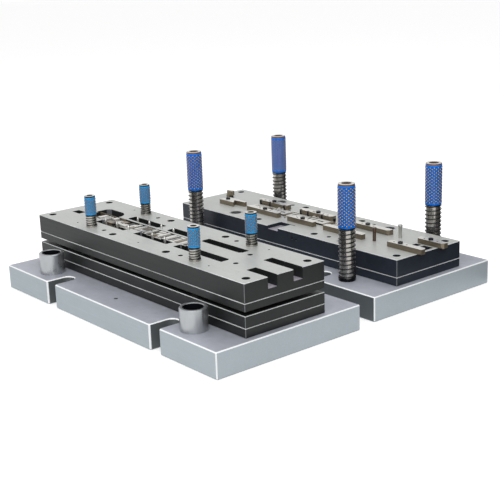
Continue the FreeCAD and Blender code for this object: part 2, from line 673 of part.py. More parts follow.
# Stripper: backing plate and stripper plate, carried by the shoulder bolts and the pressure springs
stripper_backing = plate(PLATE_L, PLATE_W, STRIPPER_BACKING_Z, STRIPPER_BACKING_T, PLATE_CHAMFER)
stripper_plate = plate(PLATE_L, PLATE_W, STRIPPER_Z, STRIPPER_T, PLATE_CHAMFER)
stripper_screw_seat = STRIPPER_TOP - SCREW_SINK - SCREW_HEAD_H
stripper_dowel_foot = STRIPPER_TOP - DOWEL_SINK - DOWEL_L
for x, y in screw_places:
    stripper_plate = stripper_plate.cut(cylinder(x, y, stripper_screw_seat, STRIPPER_TOP, SCREW_HEAD_R))
for x, y in dowel_places:
    stripper_plate = stripper_plate.cut(cylinder(x, y, stripper_dowel_foot, STRIPPER_TOP, DOWEL_R))
for x, y in inner_places:
    stripper_plate = stripper_plate.cut(cylinder(x, y, STRIPPER_Z, STRIPPER_TOP, INNER_R))
    stripper_backing = stripper_backing.cut(cylinder(x, y, STRIPPER_BACKING_Z, STRIPPER_Z, INNER_R))
for x in MARK_HOLE_X:
    for side in (-1, 1):
        hole = cylinder(x, side * MARK_HOLE_Y, STRIPPER_TOP - MARK_HOLE_DEPTH, STRIPPER_TOP, MARK_HOLE_R)
        stripper_plate = stripper_plate.cut(hole)
bolt_end = STRIPPER_BACKING_Z + BOLT_GRIP
for x, y in bolt_places:
    stripper_backing = stripper_backing.cut(cylinder(x, y, STRIPPER_BACKING_Z, bolt_end, BOLT_R))
lifter_floor = STRIPPER_TOP - LIFTER_STAND + LIFTER_TRAVEL
for x, y in lifter_places:
    hole = cylinder(x, -y, lifter_floor, STRIPPER_TOP, LIFTER_HEAD_R + FREE)
    stripper_plate = stripper_plate.cut(hole)

# The stripper turns over on to the die plate, so a rail at y meets a pocket at -y
pocket_floor = STRIPPER_TOP - POCKET_DEPTH
for side, spans in ((1, FRONT_RAILS), (-1, REAR_RAILS)):
    outer_y = side * (rail_outer_y + POCKET_MARGIN)
    strip_y = side * (STRIP_HALF_W - POCKET_MARGIN)
    for start, end, _ in spans[:-1]:
        x0 = start - POCKET_MARGIN
        x1 = end + POCKET_MARGIN
        pocket = bar(x0, x1, outer_y, strip_y, pocket_floor, STRIPPER_TOP, RAIL_NOSE)
        stripper_plate = stripper_plate.cut(pocket)
    low_y, high_y = sorted((outer_y, strip_y))
    slot_start = spans[-1][0] - POCKET_MARGIN
    slot = box(slot_start, PLATE_L / 2, low_y, high_y, pocket_floor, STRIPPER_TOP)
    stripper_plate = stripper_plate.cut(slot)
pocket_x0 = ENTRY_X0 - POCKET_MARGIN
pocket_x1 = ENTRY_X1 + ENTRY_TONGUE + POCKET_MARGIN
pocket_y = -entry_y + POCKET_MARGIN
bevel_y = -entry_y - RAIL_NOSE
entry_pocket = [(pocket_x0, bevel_y), (ENTRY_X0 + RAIL_NOSE, pocket_y), (ENTRY_X1, pocket_y),
                (ENTRY_X1 + ENTRY_NOTCH, bevel_y), (pocket_x1, STRIP_HALF_W), (pocket_x1, CHANNEL_Y1),
                (pocket_x0, -ENTRY_INNER_Y - POCKET_MARGIN)]
stripper_plate = stripper_plate.cut(prism(entry_pocket, pocket_floor, STRIPPER_TOP))
stop_pocket = box(stop_x0 - POCKET_MARGIN, stop_x1 + POCKET_MARGIN, -stop_y1 - POCKET_MARGIN,
                  -stop_y0 + POCKET_MARGIN, pocket_floor, STRIPPER_TOP)
stripper_plate = stripper_plate.cut(stop_pocket)

# Holes and slots that let the pilots and punches through
for x, y in pilot_places:
    stripper_plate = stripper_plate.cut(cylinder(x, y, pocket_floor, STRIPPER_TOP, pilot_hole_r))
pilot_rows = ((front_pilots, PILOT_FRONT_Y), (rear_pilots, PILOT_REAR_Y))
for row, y in pilot_rows:
    slot = (min(row) - PILOT_RELIEF, max(row) + PILOT_RELIEF, y - PILOT_RELIEF, y + PILOT_RELIEF)
    stripper_plate = stripper_plate.cut(box(*slot, STRIPPER_Z, pocket_floor))
    stripper_backing = stripper_backing.cut(box(*slot, STRIPPER_BACKING_Z, STRIPPER_Z))
channel_x0 = STRIPPER_INSERTS[0][0]
channel_x1 = STRIPPER_INSERTS[-1][1]
channel = box(channel_x0, channel_x1, CHANNEL_Y0, CHANNEL_Y1, pocket_floor, STRIPPER_TOP)
stripper_plate = stripper_plate.cut(channel)
relief = (channel_x0 + CHANNEL_RELIEF, channel_x1 - CHANNEL_RELIEF, CHANNEL_Y0 + CHANNEL_RELIEF,
          CHANNEL_Y1 - CHANNEL_RELIEF)
stripper_plate = stripper_plate.cut(box(*relief, STRIPPER_Z, pocket_floor))
stripper_backing = stripper_backing.cut(box(*relief, STRIPPER_BACKING_Z, STRIPPER_Z))
save("stripper_plate", upper(stripper_plate))
save("stripper_backing_plate", upper(stripper_backing))

stripper_inserts = []
for start, end, low in STRIPPER_INSERTS:
    insert = box(start, end, CHANNEL_Y0, CHANNEL_Y1, pocket_floor, STRIPPER_TOP - low)
    for x, y, half_x, half_y in PUNCHES:
        if start < x < end:
            insert = insert.cut(box(x - half_x - FREE, x + half_x + FREE, y - half_y - FREE, y + half_y + FREE,
                                    pocket_floor, STRIPPER_TOP))
    stripper_inserts.append(insert)
save("stripper_inserts", upper(Part.makeCompound(stripper_inserts)))

stripper_screws = socket_screws(screw_places, stripper_screw_seat, SCREW_HEAD_R, SCREW_HEAD_H,
                                SCREW_SOCKET_R, SCREW_SOCKET_DEPTH)
save("stripper_screws", upper(stripper_screws))
save("stripper_dowels", upper(dowels(stripper_dowel_foot)))

# Shoulder bolts that carry the stripper, their heads sunk in the shoe
bolts = []
bolt_foot = BOLT_SEAT - BOLT_HEAD_H
for x, y in bolt_places:
    profile = [(0, bolt_foot), (BOLT_HEAD_R, bolt_foot), (BOLT_HEAD_R, BOLT_SEAT), (BOLT_R, BOLT_SEAT),
               (BOLT_R, bolt_end), (0, bolt_end)]
    socket = prism(hexagon(x, y, SCREW_SOCKET_R), bolt_foot, bolt_foot + SCREW_SOCKET_DEPTH)
    bolts.append(turned(profile, x, y).cut(socket))
save("stripper_bolts", upper(Part.makeCompound(bolts)))
pressure_springs = [coil(x, y, SHOE_T, STRIPPER_BACKING_Z, PRESSURE_SPRING_R, PRESSURE_SPRING_WIRE,
                         PRESSURE_SPRING_TURNS) for x, y in pressure_places]
save("pressure_springs", upper(Part.makeCompound(pressure_springs)))

# Inner posts with their collars and caps, the springs and ball cages on them
inner_posts = []
inner_caps = []
for number, (x, y) in enumerate(inner_places, 1):
    cap_z = INNER_TOP - INNER_CAP_T
    foot = PUNCH_TOP_Z - INNER_REACH
    profile = [(0, foot), (INNER_R, foot), (INNER_R, STRIPPER_TOP), (INNER_COLLAR_R, STRIPPER_TOP),
               (INNER_COLLAR_R, INNER_SPRING_FOOT), (INNER_R, INNER_SPRING_FOOT), (INNER_R, cap_z), (0, cap_z)]
    inner_posts.append(turned(profile, x, y))
    cap = cylinder(x, y, cap_z, INNER_TOP, INNER_CAP_R)
    inner_caps.append(cap.cut(cylinder(x, y, INNER_TOP - INNER_CAP_BORE_DEPTH, INNER_TOP, INNER_CAP_BORE_R)))
    spring = coil(x, y, INNER_SPRING_FOOT, INNER_CAGE_BOTTOM, INNER_R + FREE, INNER_SPRING_WIRE,
                  INNER_SPRING_TURNS)
    save("inner_spring_" + str(number), upper(spring))
    cage = tube(x, y, INNER_CAGE_BOTTOM, INNER_CAGE_TOP, INNER_R + FREE, INNER_CAGE_R)
    save("inner_cage_" + str(number), upper(cage))
save("inner_posts", upper(Part.makeCompound(inner_posts)))
save("inner_post_caps", upper(Part.makeCompound(inner_caps)))
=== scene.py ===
"""Looks of a progressive stamping die, opened for the bench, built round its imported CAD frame.

The lower half stands at the origin with its guide posts up. The upper half lies beside it, turned
over. Everything is in metres, in the frame of the CAD, and each new piece rides on a CAD body.
"""

import math

import bpy
import numpy as np
from bpy.props import FloatProperty, FloatVectorProperty, IntProperty, PointerProperty
from mathutils import Matrix, Vector


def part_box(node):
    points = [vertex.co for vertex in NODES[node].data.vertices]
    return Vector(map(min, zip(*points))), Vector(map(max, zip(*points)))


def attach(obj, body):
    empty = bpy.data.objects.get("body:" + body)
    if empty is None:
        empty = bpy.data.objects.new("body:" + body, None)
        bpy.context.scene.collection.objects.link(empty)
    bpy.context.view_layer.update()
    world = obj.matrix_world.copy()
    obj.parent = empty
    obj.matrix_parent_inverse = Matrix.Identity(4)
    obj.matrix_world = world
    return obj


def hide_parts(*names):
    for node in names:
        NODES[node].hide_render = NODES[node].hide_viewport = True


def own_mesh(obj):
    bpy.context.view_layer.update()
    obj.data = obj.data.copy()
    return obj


bl_info = {
    "name": "Progressive Die Looks",
    "version": (1, 0, 0),
    "blender": (4, 5, 0),
    "location": "View3D > Sidebar > Stamping Die",
    "description": "Finishes and fine pieces of an opened progressive stamping die",
    "category": "Object",
}

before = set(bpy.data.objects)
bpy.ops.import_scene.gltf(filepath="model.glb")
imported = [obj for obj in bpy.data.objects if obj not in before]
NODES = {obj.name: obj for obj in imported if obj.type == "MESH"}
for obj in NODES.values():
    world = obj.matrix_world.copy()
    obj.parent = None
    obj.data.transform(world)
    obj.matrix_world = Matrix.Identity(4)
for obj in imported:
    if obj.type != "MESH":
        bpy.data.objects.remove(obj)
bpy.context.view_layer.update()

# Small tooling in the stripper's channel, in millimetres from the low corner of its inserts' box:
# start and end along the strip, start and end across it, and the top's height in the frame
STRIPPER_BLOCKS = {"bright": (
    (2, 20, 3, 11, 120.2), (38, 41, 3, 26, 123.8), (46, 49, 3, 26, 123.8), (58, 66, 16, 27, 124.6),
    (70, 80, 16, 27, 121.6), (100, 104.5, 3, 12, 124.2), (108, 117, 2, 12, 124.8), (130, 136, 12, 27, 124.8),
    (146, 151, 2, 27, 125.3), (178, 183, 2, 14, 125.4), (178, 183, 17, 27, 125.1), (192, 207, 22, 27, 125.2),
    (212, 218, 2, 27, 125.4), (231, 239, 3, 26, 125.6), (274, 281, 5, 24, 125.7)
), "straw": (
    (0.5, 55, 28, 28.8, 124.6), (2, 20, 14, 26, 118.9), (58, 76, 2, 13, 122.4), (86, 98, 15, 27, 123.2),
    (130, 142, 2, 9, 124.8), (155, 168, 13, 27, 125.0), (192, 206, 2, 10, 124.8), (262, 270, 2, 27, 125.5),
    (60, 82, 28, 28.8, 124.7)
), "black": (
    (51, 55, 6, 24, 119.2), (78.5, 82, 2, 14, 122.2), (89, 103, 1, 4, 120.5), (108, 117, 15, 27, 123.3),
    (138, 142, 12, 27, 123.4), (154, 170, 1, 4, 124.2), (172.5, 176, 2, 27, 124.4), (186, 190, 2, 27, 123.6),
    (220.5, 226, 4, 24, 123.6), (243, 247, 2, 27, 125.0), (285.5, 291, 2, 27, 125.1))}

# The same on the die plate, in millimetres in the frame
DIE_BLOCKS = {"bright": (
    (-160, -106, 9, 12, 89.2), (-160, -106, -12, -9, 89.2), (-92, -89, -15, 15, 91.0),
    (-49, -45, -15, 15, 90.4), (6, 10, -15, 15, 91.5), (60, 74, 7, 13, 89.0), (60, 74, -13, -7, 89.0),
    (97, 109, -14, 14, 88.4)
), "straw": (
    (-120, -112, -7, 7, 90.0), (-58, -54, -14, 14, 89.6), (-1, 1.5, -15, 15, 90.0), (48, 53, -14, 14, 90.4))}

# The die plate's rings: their middles, and one ring's section of radius and height
DIE_RINGS = ((-151, 0), (-100, 13), (-100, -13), (-55.5, 16), (-4, 15), (57, 15), (57, -15))
RING_SECTION = ((1.4, 86.0), (3.3, 86.0), (3.3, 90.6), (3.0, 90.9), (1.7, 90.9), (1.4, 90.6))
RING_SEGMENTS = 20

MM = 0.001
HALF_TURN = math.pi
FULL_TURN = 2 * math.pi
FOUR = (1, 2, 3, 4)

# A block's bevel, and how far the tooling's foot stands above the inserts' lowest point
BLOCK_BEVEL = 0.25 * MM
TOOLING_LIFT = 1.0 * MM

# How far below a node's highest point its top face may lie
TOP_DEPTH = 0.5 * MM
SHOE_TOP_DEPTH = 1.0 * MM
INSERT_TOP_DEPTHS = (("die_inserts", 4.0 * MM), ("stripper_inserts", 5.0 * MM))

# How plate faces are told apart: the normal's share along an axis where a face looks that way and
# where it leans, x times y at a corner, and how near to the top and to a side a face may lie
FACING = 0.9
LEANING = 0.3
CORNER_PRODUCT = 0.4995
EDGE_REACH = 2.0 * MM
WALL_INSET = 3.0 * MM

# Scales of the cutter marks that run round a post or a bush
ROUND_MARKS = (900.0, 60.0)

# The guide bushes' radii, and how far the painted shade of the bore and of the collar reaches past their
# edge
BUSH_RADIUS = 21.5 * MM
BUSH_BORE_RADIUS = 15.5 * MM
BORE_MARGIN = 0.4 * MM
COLLAR_MARGIN = 0.1 * MM

# Each kind of cage: its wall as a share of its outer radius, the painted shade ring round a ball as
# a share of the ball's radius, and the turn of the first ball as a share of a spacing
LARGE_CAGE = (0.1168, 1.45, 0.5)
INNER_CAGE = (0.1164, 1.4, 0.0)

# Both kinds: the rim's bevel as a share of the wall, how far the balls' centres lie beyond the
# wall's middle as a share of their radius, the sleeve's faces round it for each ball, the angle of
# a ball's flat pole, and how far the painted shade rings reach beyond the last row, in rows
RIM_BEVEL_SHARE = 0.3
BALL_OUT_SHARE = 0.16
SEGMENTS_PER_BALL = 6
POLE_FLAT = 0.02
ROW_BEYOND = 0.6

# Springs: mean radius, free length and pressed length, in millimetres
POST_SPRING = (13.75, 85.7, 45.7)
INNER_SPRING = (8.95, 19.2, 7.2)
LIFTER_SPRING = (2.9, 38.0, 26.0)
LIFTER_WIRE = 1.0 * MM
LIFTER_TURNS = 6

# The springs below the stripper: their mean radius, wire and open turns, and their distance from the sides
# of their node's box
PRESSURE_RADIUS = 8.7 * MM
PRESSURE_WIRE = 2.2 * MM
PRESSURE_TURNS = 3
PRESSURE_INSET = 10.0 * MM

# The studio, in metres. A lamp has its place and its width
CAMERA_PLACE = (1.4271, -1.3234, 0.5971)
SENSOR_WIDTH = 36.0
LAMP_AIM = (0.0, -0.16, 0.06)
KEY_LAMP = ((1.8, -1.9, 1.9), 2.4)
TOP_LAMP = ((-0.4, 0.2, 2.6), 2.2)
FLOOR_LINES = 9
FLOOR_DROP = 0.0002
FLOOR_SHADE_IN_LIGHT = (0.2, 0.2, 0.2)
FLOOR_SHADE_SEEN = (0.82, 0.82, 0.82)
SCREEN_ANGLES = (8, 122)
SCREEN_COLUMNS = 25
SCREEN_NEAR = 0.4
SCREEN_FAR = 2.6
SCREEN_HEIGHT = 2.4
SCREEN_LIFT = 0.002
SCREEN_MIDDLE_Y = -0.1
SCREEN_SHADE = (0.01, 0.01, 0.012)


def linear(red, green, blue):
    """A colour given as the eye reads it, 0 to 255, as the linear light that shaders take."""
    shares = np.array([red, green, blue]) / 255.0
    low = shares / 12.92
    high = ((shares + 0.055) / 1.055) ** 2.4
    return tuple(np.where(shares <= 0.04045, low, high).tolist())


def colour(label, note, red, green, blue):
    """A colour that the user may change."""
    return FloatVectorProperty(
        name=label, description=note, subtype="COLOR", size=3, min=0.0, max=1.0,
        default=linear(red, green, blue))


def length(label, note, millimetres):
    """A size that the user may change, kept in metres."""
    return FloatProperty(
        name=label, description=note, subtype="DISTANCE", unit="LENGTH", min=0.0,
        default=millimetres * MM)


def count(label, note, default):
    """A number of like things."""
    return IntProperty(name=label, description=note, min=1, default=default)


class DieFinishes(bpy.types.PropertyGroup):
    """The colours of the die's metals and cages."""

    aluminium: colour("Aluminium", "Milled shoes, on their sides", 182, 193, 199)
    # Painted shade: the wide faces of the shoes take a darker colour than their sides
    aluminium_top_shade: colour("Aluminium top", "Milled shoes, on their wide faces, with painted shade", 170, 173, 183)
    # Painted shade on the walls of the clamp slots and holes
    slot_wall_shade: colour("Slot wall shade", "Painted shade on the walls of the clamp slots and holes", 96, 100, 102)
    # Painted shade on the lower shoe's long front side
    front_painted_shade: colour("Front shade", "Painted shade on the lower shoe's long front side", 88, 94, 98)
    # Painted highlight on the chamfers
    edge_highlight: colour("Edge highlight", "Painted highlight on the chamfers along the plates and shoes", 246, 248, 250)
    ground_top: colour("Ground top", "Ground faces of the die plate and stripper", 182, 184, 181)
    # Dim painted highlight on the upright corners of the steel plates
    corner_highlight: colour("Corner highlight", "Dim painted highlight on the upright corners of the steel plates", 104, 107, 110)
    oxide_side: colour("Oxide side", "Dark sides of the steel plates", 36, 38, 38)
    oxide_blue: colour("Blued side", "Dark sides of the lower half's plates", 38, 44, 54)
    pocket_floor: colour("Pocket floor", "Milled floors below the ground faces", 168, 164, 174)
    cap_side: colour("Cap side", "Rims of the post caps", 122, 100, 86)
    bright_steel: colour("Bright steel", "Inserts, punches and pilots", 205, 204, 200)
    straw_steel: colour("Straw steel", "Tinted sides of rails and inserts", 118, 108, 92)
    oiled_lifter: colour("Oiled lifter", "The front guide lifter", 84, 68, 56)
    post_steel: colour("Post steel", "Ground guide posts", 165, 162, 156)
    bush_steel: colour("Bush steel", "Guide bushes", 168, 171, 173)
    spring_steel: colour("Spring steel", "Springs round the posts", 46, 48, 52)
    black_steel: colour("Black steel", "Screws with a black oxide", 22, 24, 28)
    cage_blue: colour("Large cage blue", "Ball cages of the main guides", 0, 126, 252)
    inner_blue: colour("Inner cage blue", "Ball cages of the stripper's guides", 50, 152, 216)
    # Painted shade in the pockets round the balls
    pocket_shade: colour("Ball pocket shade", "Painted shade rings round the balls", 0, 10, 36)
    ball_tan: colour("Ball", "Balls of the main guides", 212, 186, 94)
    ball_brown: colour("Inner ball", "Balls of the stripper's guides", 168, 140, 104)


class GuideSizes(bpy.types.PropertyGroup):
    """The ball cages and springs of the guides."""

    cage_rows: count("Ball rows", "Rows of balls on a large cage", 23)
    cage_balls: count("Balls in a row", "Balls in each row of a large cage", 12)
    cage_rim: length("Cage rim", "Plain height at each end of a large cage", 3.9)
    ball_radius: length("Ball radius", "Balls of the large cages", 1.35)
    inner_rows: count("Inner ball rows", "Rows of balls on an inner cage", 10)
    inner_balls: count("Inner balls in a row", "Balls in each row of an inner cage", 9)
    inner_rim: length("Inner cage rim", "Plain height at each end of an inner cage", 4.0)
    inner_ball_radius: length("Inner ball radius", "Balls of the inner cages", 1.1)
    wire: length("Wire", "Wire of the large springs, across", 1.6)
    inner_wire: length("Inner wire", "Wire of the inner springs, across", 1.1)
    coil_turns: count("Turns", "Open turns of a large spring", 11)
    inner_turns: count("Inner turns", "Open turns of an inner spring", 4)


class StudioSettings(bpy.types.PropertyGroup):
    """The camera, the lamps and the floor."""

    lens: FloatProperty(name="Lens", description="Focal length of the camera", unit="CAMERA", default=78.29)
    azimuth: FloatProperty(
        name="Azimuth", description="Camera's way round the die from the front",
        subtype="ANGLE", default=math.radians(50.463))
    elevation: FloatProperty(
        name="Elevation", description="Camera's height above the horizon",
        subtype="ANGLE", default=math.radians(16.178))
    roll: FloatProperty(
        name="Roll", description="Camera's turn about its own line of sight",
        subtype="ANGLE", default=math.radians(-1.973))
    sky: FloatProperty(name="Sky", description="Strength of the even light all round", default=0.62)
    key: FloatProperty(name="Key", description="Power of the lamp in front", unit="POWER", default=52.0)
    top: FloatProperty(name="Top", description="Power of the lamp overhead", unit="POWER", default=16.0)
    floor_glow: FloatProperty(
        name="Floor glow", description="Light that lifts the floor to white", default=0.42)
    floor_half: length("Floor", "Half the width of the floor", 9000)


def outward(points, faces):
    """The faces turned so that the closed shell they make holds a positive volume."""
    corners = points[faces]
    a = corners[:, 0]
    volume = 0.0
    for k in range(1, faces.shape[1] - 1):
        volume += np.einsum("ij,ij->", a, np.cross(corners[:, k], corners[:, k + 1]))
    return faces if volume > 0 else faces[:, ::-1]


def grid_faces(rows, columns, rows_close=False, columns_close=False):
    """Quads of a grid of points, joined to its start along rows or columns where it closes."""
    down = np.arange(rows if rows_close else rows - 1)
    along = np.arange(columns if columns_close else columns - 1)
    i, j = np.meshgrid(down, along, indexing="ij")
    here = i.ravel() * columns
    below = (i.ravel() + 1) % rows * columns
    j = j.ravel()
    next_j = (j + 1) % columns
    return np.stack((here + j, here + next_j, below + next_j, below + j), 1)


def repeated(points, faces, places):
    """Copies of one shape moved to each place, as one array of points and one of faces."""
    moved = points[None] + np.asarray(places, float)[:, None]
    shift = len(points) * np.arange(len(moved))
    copies = faces[None] + shift[:, None, None]
    return moved.reshape(-1, 3), copies.reshape(-1, faces.shape[1])


def joined(shapes):
    """Several shapes as one array of points and one of faces."""
    points = np.concatenate([shape[0] for shape in shapes])
    starts = np.cumsum([0] + [len(shape[0]) for shape in shapes[:-1]])
    faces = np.concatenate([shape[1] + start for shape, start in zip(shapes, starts)])
    return points, faces


def block_shape(low, high, bevel):
    """Upright blocks between low and high corners, each with a bevel round its top.

    The walls rise to the bevel below the top, and the top is drawn in by the bevel on each side.
    """
    corner = np.array(((0, 0), (1, 0), (1, 1), (0, 1)), float)
    ring = low[:, None, :2] + corner * (high - low)[:, None, :2]
    drawn_in = ring + bevel * (1 - 2 * corner)
    points = np.empty((len(low), 3, 4, 3))
    points[..., :2] = np.stack((ring, ring, drawn_in), 1)
    points[..., 2] = np.stack((low[:, 2], high[:, 2] - bevel, high[:, 2]), 1)[:, :, None]
    points = points.reshape(-1, 3)
    block = np.concatenate((grid_faces(3, 4, False, True), ((3, 2, 1, 0), (8, 9, 10, 11))))
    first = np.arange(0, len(points), 3 * 4)
    return points, outward(points, (block[None] + first[:, None, None]).reshape(-1, 4))


def turned(radius, height, segments):
    """The points of a profile of radius and height carried round the Z axis.

    A point at angle a is the radius times (cos a, sin a), at the profile's height.
    """
    angle = FULL_TURN * np.arange(segments) / segments
    points = np.empty((len(radius), segments, 3))
    points[..., 0] = radius[:, None] * np.cos(angle)
    points[..., 1] = radius[:, None] * np.sin(angle)
    points[..., 2] = height[:, None]
    return points.reshape(-1, 3)


def turned_ring(profile, centre, segments):
    """A closed profile of radius and height carried round an upright axis through the centre."""
    radius, height = np.asarray(profile, float).T
    points = turned(radius, height, segments) + (centre[0], centre[1], 0.0)
    return points, outward(points, grid_faces(len(radius), segments, True, True))


def small_ball(radius):
    """A ball of a few dozen faces: quads between rings of latitude, and a small flat at each pole.

    The ring at latitude b has a radius of cos b and a height of sin b, times the ball's radius.
    """
    rings = 6
    meridians = 8
    latitude = np.linspace(-HALF_TURN / 2, HALF_TURN / 2, rings)
    latitude[0] += POLE_FLAT
    latitude[-1] -= POLE_FLAT
    points = turned(radius * np.cos(latitude), radius * np.sin(latitude), meridians)
    flat = np.array(((0, 1, 2, 3), (0, 3, 4, 7), (4, 5, 6, 7)))
    walls = grid_faces(rings, meridians, False, True)
    faces = np.concatenate((walls, flat[:, ::-1], flat + len(points) - meridians))
    return points, outward(points, faces)


def coil_shape(centre, foot, top, mean_radius, wire, open_turns, flats=10, steps=30):
    """A round wire carried along a helix with one closed turn at each end.

    At turn t the wire's centre is at angle 2 pi t on the mean radius. Its height goes up by the
    wire's thickness over the first and the last turn, and evenly over the open turns between.
    """
    turns = open_turns + 2
    rise = top - foot - wire
    turn = np.linspace(0, turns, turns * steps + 1)
    height = np.interp(turn, (0, 1, turns - 1, turns), (0, wire, rise - wire, rise))
    angle = FULL_TURN * turn
    out = np.stack((np.cos(angle), np.sin(angle), np.zeros_like(angle)), 1)
    spine = out * mean_radius
    spine[:, 2] = foot + wire / 2 + height
    spine += np.array((centre[0], centre[1], 0.0))
    round_angle = FULL_TURN * np.arange(flats) / flats
    up = np.array((0.0, 0.0, 1.0))
    section = np.cos(round_angle)[None, :, None] * out[:, None] + np.sin(round_angle)[None, :, None] * up
    points = (spine[:, None] + section * wire / 2).reshape(-1, 3)
    faces = outward(points, grid_faces(len(turn), flats, False, True))
    first = np.arange(flats)
    last = first + (len(turn) - 1) * flats
    flipped = faces[0, 0] != 0 or faces[0, 1] != 1
    ends = (first, last[::-1]) if flipped else (first[::-1], last)
    return points, faces, ends


def piece(name, shape, material, body, sharp=30.0, ends=()):
    """A named mesh object in the row frame, smooth except at edges sharper than the given angle."""
    points, faces = shape
    mesh = bpy.data.meshes.new(name)
    mesh.from_pydata(points.tolist(), [], faces.tolist() + [list(end) for end in ends])
    mesh.validate()
    mesh.polygons.foreach_set("use_smooth", np.ones(len(mesh.polygons), bool))
    mesh.set_sharp_from_angle(angle=math.radians(sharp))
    mesh.materials.append(material)
    made = bpy.data.objects.new(name, mesh)
    bpy.context.scene.collection.objects.link(made)
    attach(made, body)
    return made


def middle(node):
    """The middle of a CAD node's box, and its lowest and highest corners."""
    low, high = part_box(node)
    return (low + high) / 2, low, high


def shader_node(tree, kind, inputs=None, **settings):
    """A node with its settings, each input given a value or linked to another node's output."""
    made = tree.nodes.new(kind)
    for key, value in settings.items():
        setattr(made, key, value)
    for key, value in (inputs or {}).items():
        socket = made.inputs[key]
        if isinstance(value, bpy.types.NodeSocket):
            tree.links.new(value, socket)
        elif socket.type == "RGBA":
            socket.default_value = (*value[:3], 1.0)
        else:
            socket.default_value = value
    return made


def math_node(tree, operation, *values):
    """The output of one sum."""
    return shader_node(tree, "ShaderNodeMath", dict(enumerate(values)), operation=operation).outputs[0]


def vector_node(tree, operation, *values):
    """The output of one sum on vectors, or a vector's length."""
    made = shader_node(tree, "ShaderNodeVectorMath", dict(enumerate(values)), operation=operation)
    return made.outputs["Value" if operation == "LENGTH" else "Vector"]


def weighed(tree, first, share, second):
    """The share times the first number plus the rest of one times the second."""
    return math_node(tree, "MULTIPLY_ADD", first, share, math_node(tree, "MULTIPLY", second, 1 - share))


def ranged(tree, value, low, high, to_low, to_high):
    """A value carried from one range to another and held inside it."""
    made = shader_node(
        tree, "ShaderNodeMapRange",
        {"Value": value, "From Min": low, "From Max": high, "To Min": to_low, "To Max": to_high})
    return made.outputs["Result"]


def noise(tree, place, scale, detail, roughness=0.5):
    """Cloudy noise, from 0 to 1 about a half."""
    made = shader_node(
        tree, "ShaderNodeTexNoise",
        {"Vector": place, "Scale": scale, "Detail": detail, "Roughness": roughness})
    return made.outputs[0]


def split(tree, vector):
    """A vector's x, y and z."""
    return shader_node(tree, "ShaderNodeSeparateXYZ", {0: vector}).outputs


def true_normal(tree):
    """The x, y and z of the way that a face looks."""
    return split(tree, shader_node(tree, "ShaderNodeNewGeometry").outputs["True Normal"])


def object_place(tree):
    """The point's place in the frame, as every object sits at its origin."""
    return shader_node(tree, "ShaderNodeTexCoord").outputs["Object"]


def mixed(tree, share, first, second):
    """One colour turned into another by a share."""
    return shader_node(tree, "ShaderNodeMix", {0: share, 6: first, 7: second}, data_type="RGBA").outputs[2]


def shaded(shade, light):
    """A colour at a share of its light."""
    return tuple(channel * light for channel in shade)


def toned(tree, share, shade, low, high):
    """A colour that goes from a low to a high share of its light."""
    return mixed(tree, share, shaded(shade, low), shaded(shade, high))


def shared_group(name, **inputs):
    """Turns a function that fills a node group into one that places the group in a material.

    The group has the named inputs, each a number or a vector as its default is, and the outputs
    that the function gives back. It is built once, and each material gives it its own values.
    """
    def placing(fill):
        def place(tree, **values):
            group = bpy.data.node_groups.get(name)
            if not group:
                group = bpy.data.node_groups.new(name, "ShaderNodeTree")
                for label, default in inputs.items():
                    kind = "NodeSocketFloat" if isinstance(default, float) else "NodeSocketVector"
                    socket = group.interface.new_socket(name=label, in_out="INPUT", socket_type=kind)
                    socket.default_value = default
                results = fill(group, group.nodes.new("NodeGroupInput").outputs)
                for label in results:
                    group.interface.new_socket(name=label, in_out="OUTPUT", socket_type="NodeSocketFloat")
                shader_node(group, "NodeGroupOutput", results)
            return shader_node(tree, "ShaderNodeGroup", values, node_tree=group).outputs
        return place
    return placing


@shared_group("Plate faces", Level=0.0, Middle=(0.0, 0.0, 0.0), Half=(0.0, 0.0, 0.0))
def plate_faces(tree, given):
    """Tells a plate's top, floors, edges and inner walls apart.

    A face looks up where its normal's z is near 1. It is the top above the given level and a
    floor below it. An upper edge lies close below the level and its normal leans halfway up. A
    corner's normal lies halfway between x and y, where their product is near a half. An inner
    wall is upright and stands inside the plate's half length and half width.
    """
    normal = true_normal(tree)
    place = object_place(tree)
    height = split(tree, place)[2]
    looks_up = math_node(tree, "GREATER_THAN", normal[2], FACING)
    top = math_node(tree, "MULTIPLY", looks_up, math_node(tree, "GREATER_THAN", height, given["Level"]))
    floor = math_node(tree, "SUBTRACT", looks_up, top)
    leans = math_node(tree, "SUBTRACT", math_node(tree, "GREATER_THAN", normal[2], LEANING), looks_up)
    edge_foot = math_node(tree, "SUBTRACT", given["Level"], EDGE_REACH)
    upper_edge = math_node(tree, "MULTIPLY", leans, math_node(tree, "GREATER_THAN", height, edge_foot))
    product = math_node(tree, "ABSOLUTE", math_node(tree, "MULTIPLY", normal[0], normal[1]))
    corner = math_node(tree, "GREATER_THAN", product, CORNER_PRODUCT)
    upright = math_node(tree, "LESS_THAN", math_node(tree, "ABSOLUTE", normal[2]), LEANING)
    reach = vector_node(tree, "ABSOLUTE", vector_node(tree, "SUBTRACT", place, given["Middle"]))
    room = split(tree, vector_node(tree, "SUBTRACT", given["Half"], reach))
    inside = math_node(tree, "GREATER_THAN", math_node(tree, "MINIMUM", room[0], room[1]), WALL_INSET)
    inner_wall = math_node(tree, "MULTIPLY", upright, inside)
    return {
        "Top": top, "Floor": floor, "Upper edge": upper_edge, "Corner": corner, "Inner wall": inner_wall}


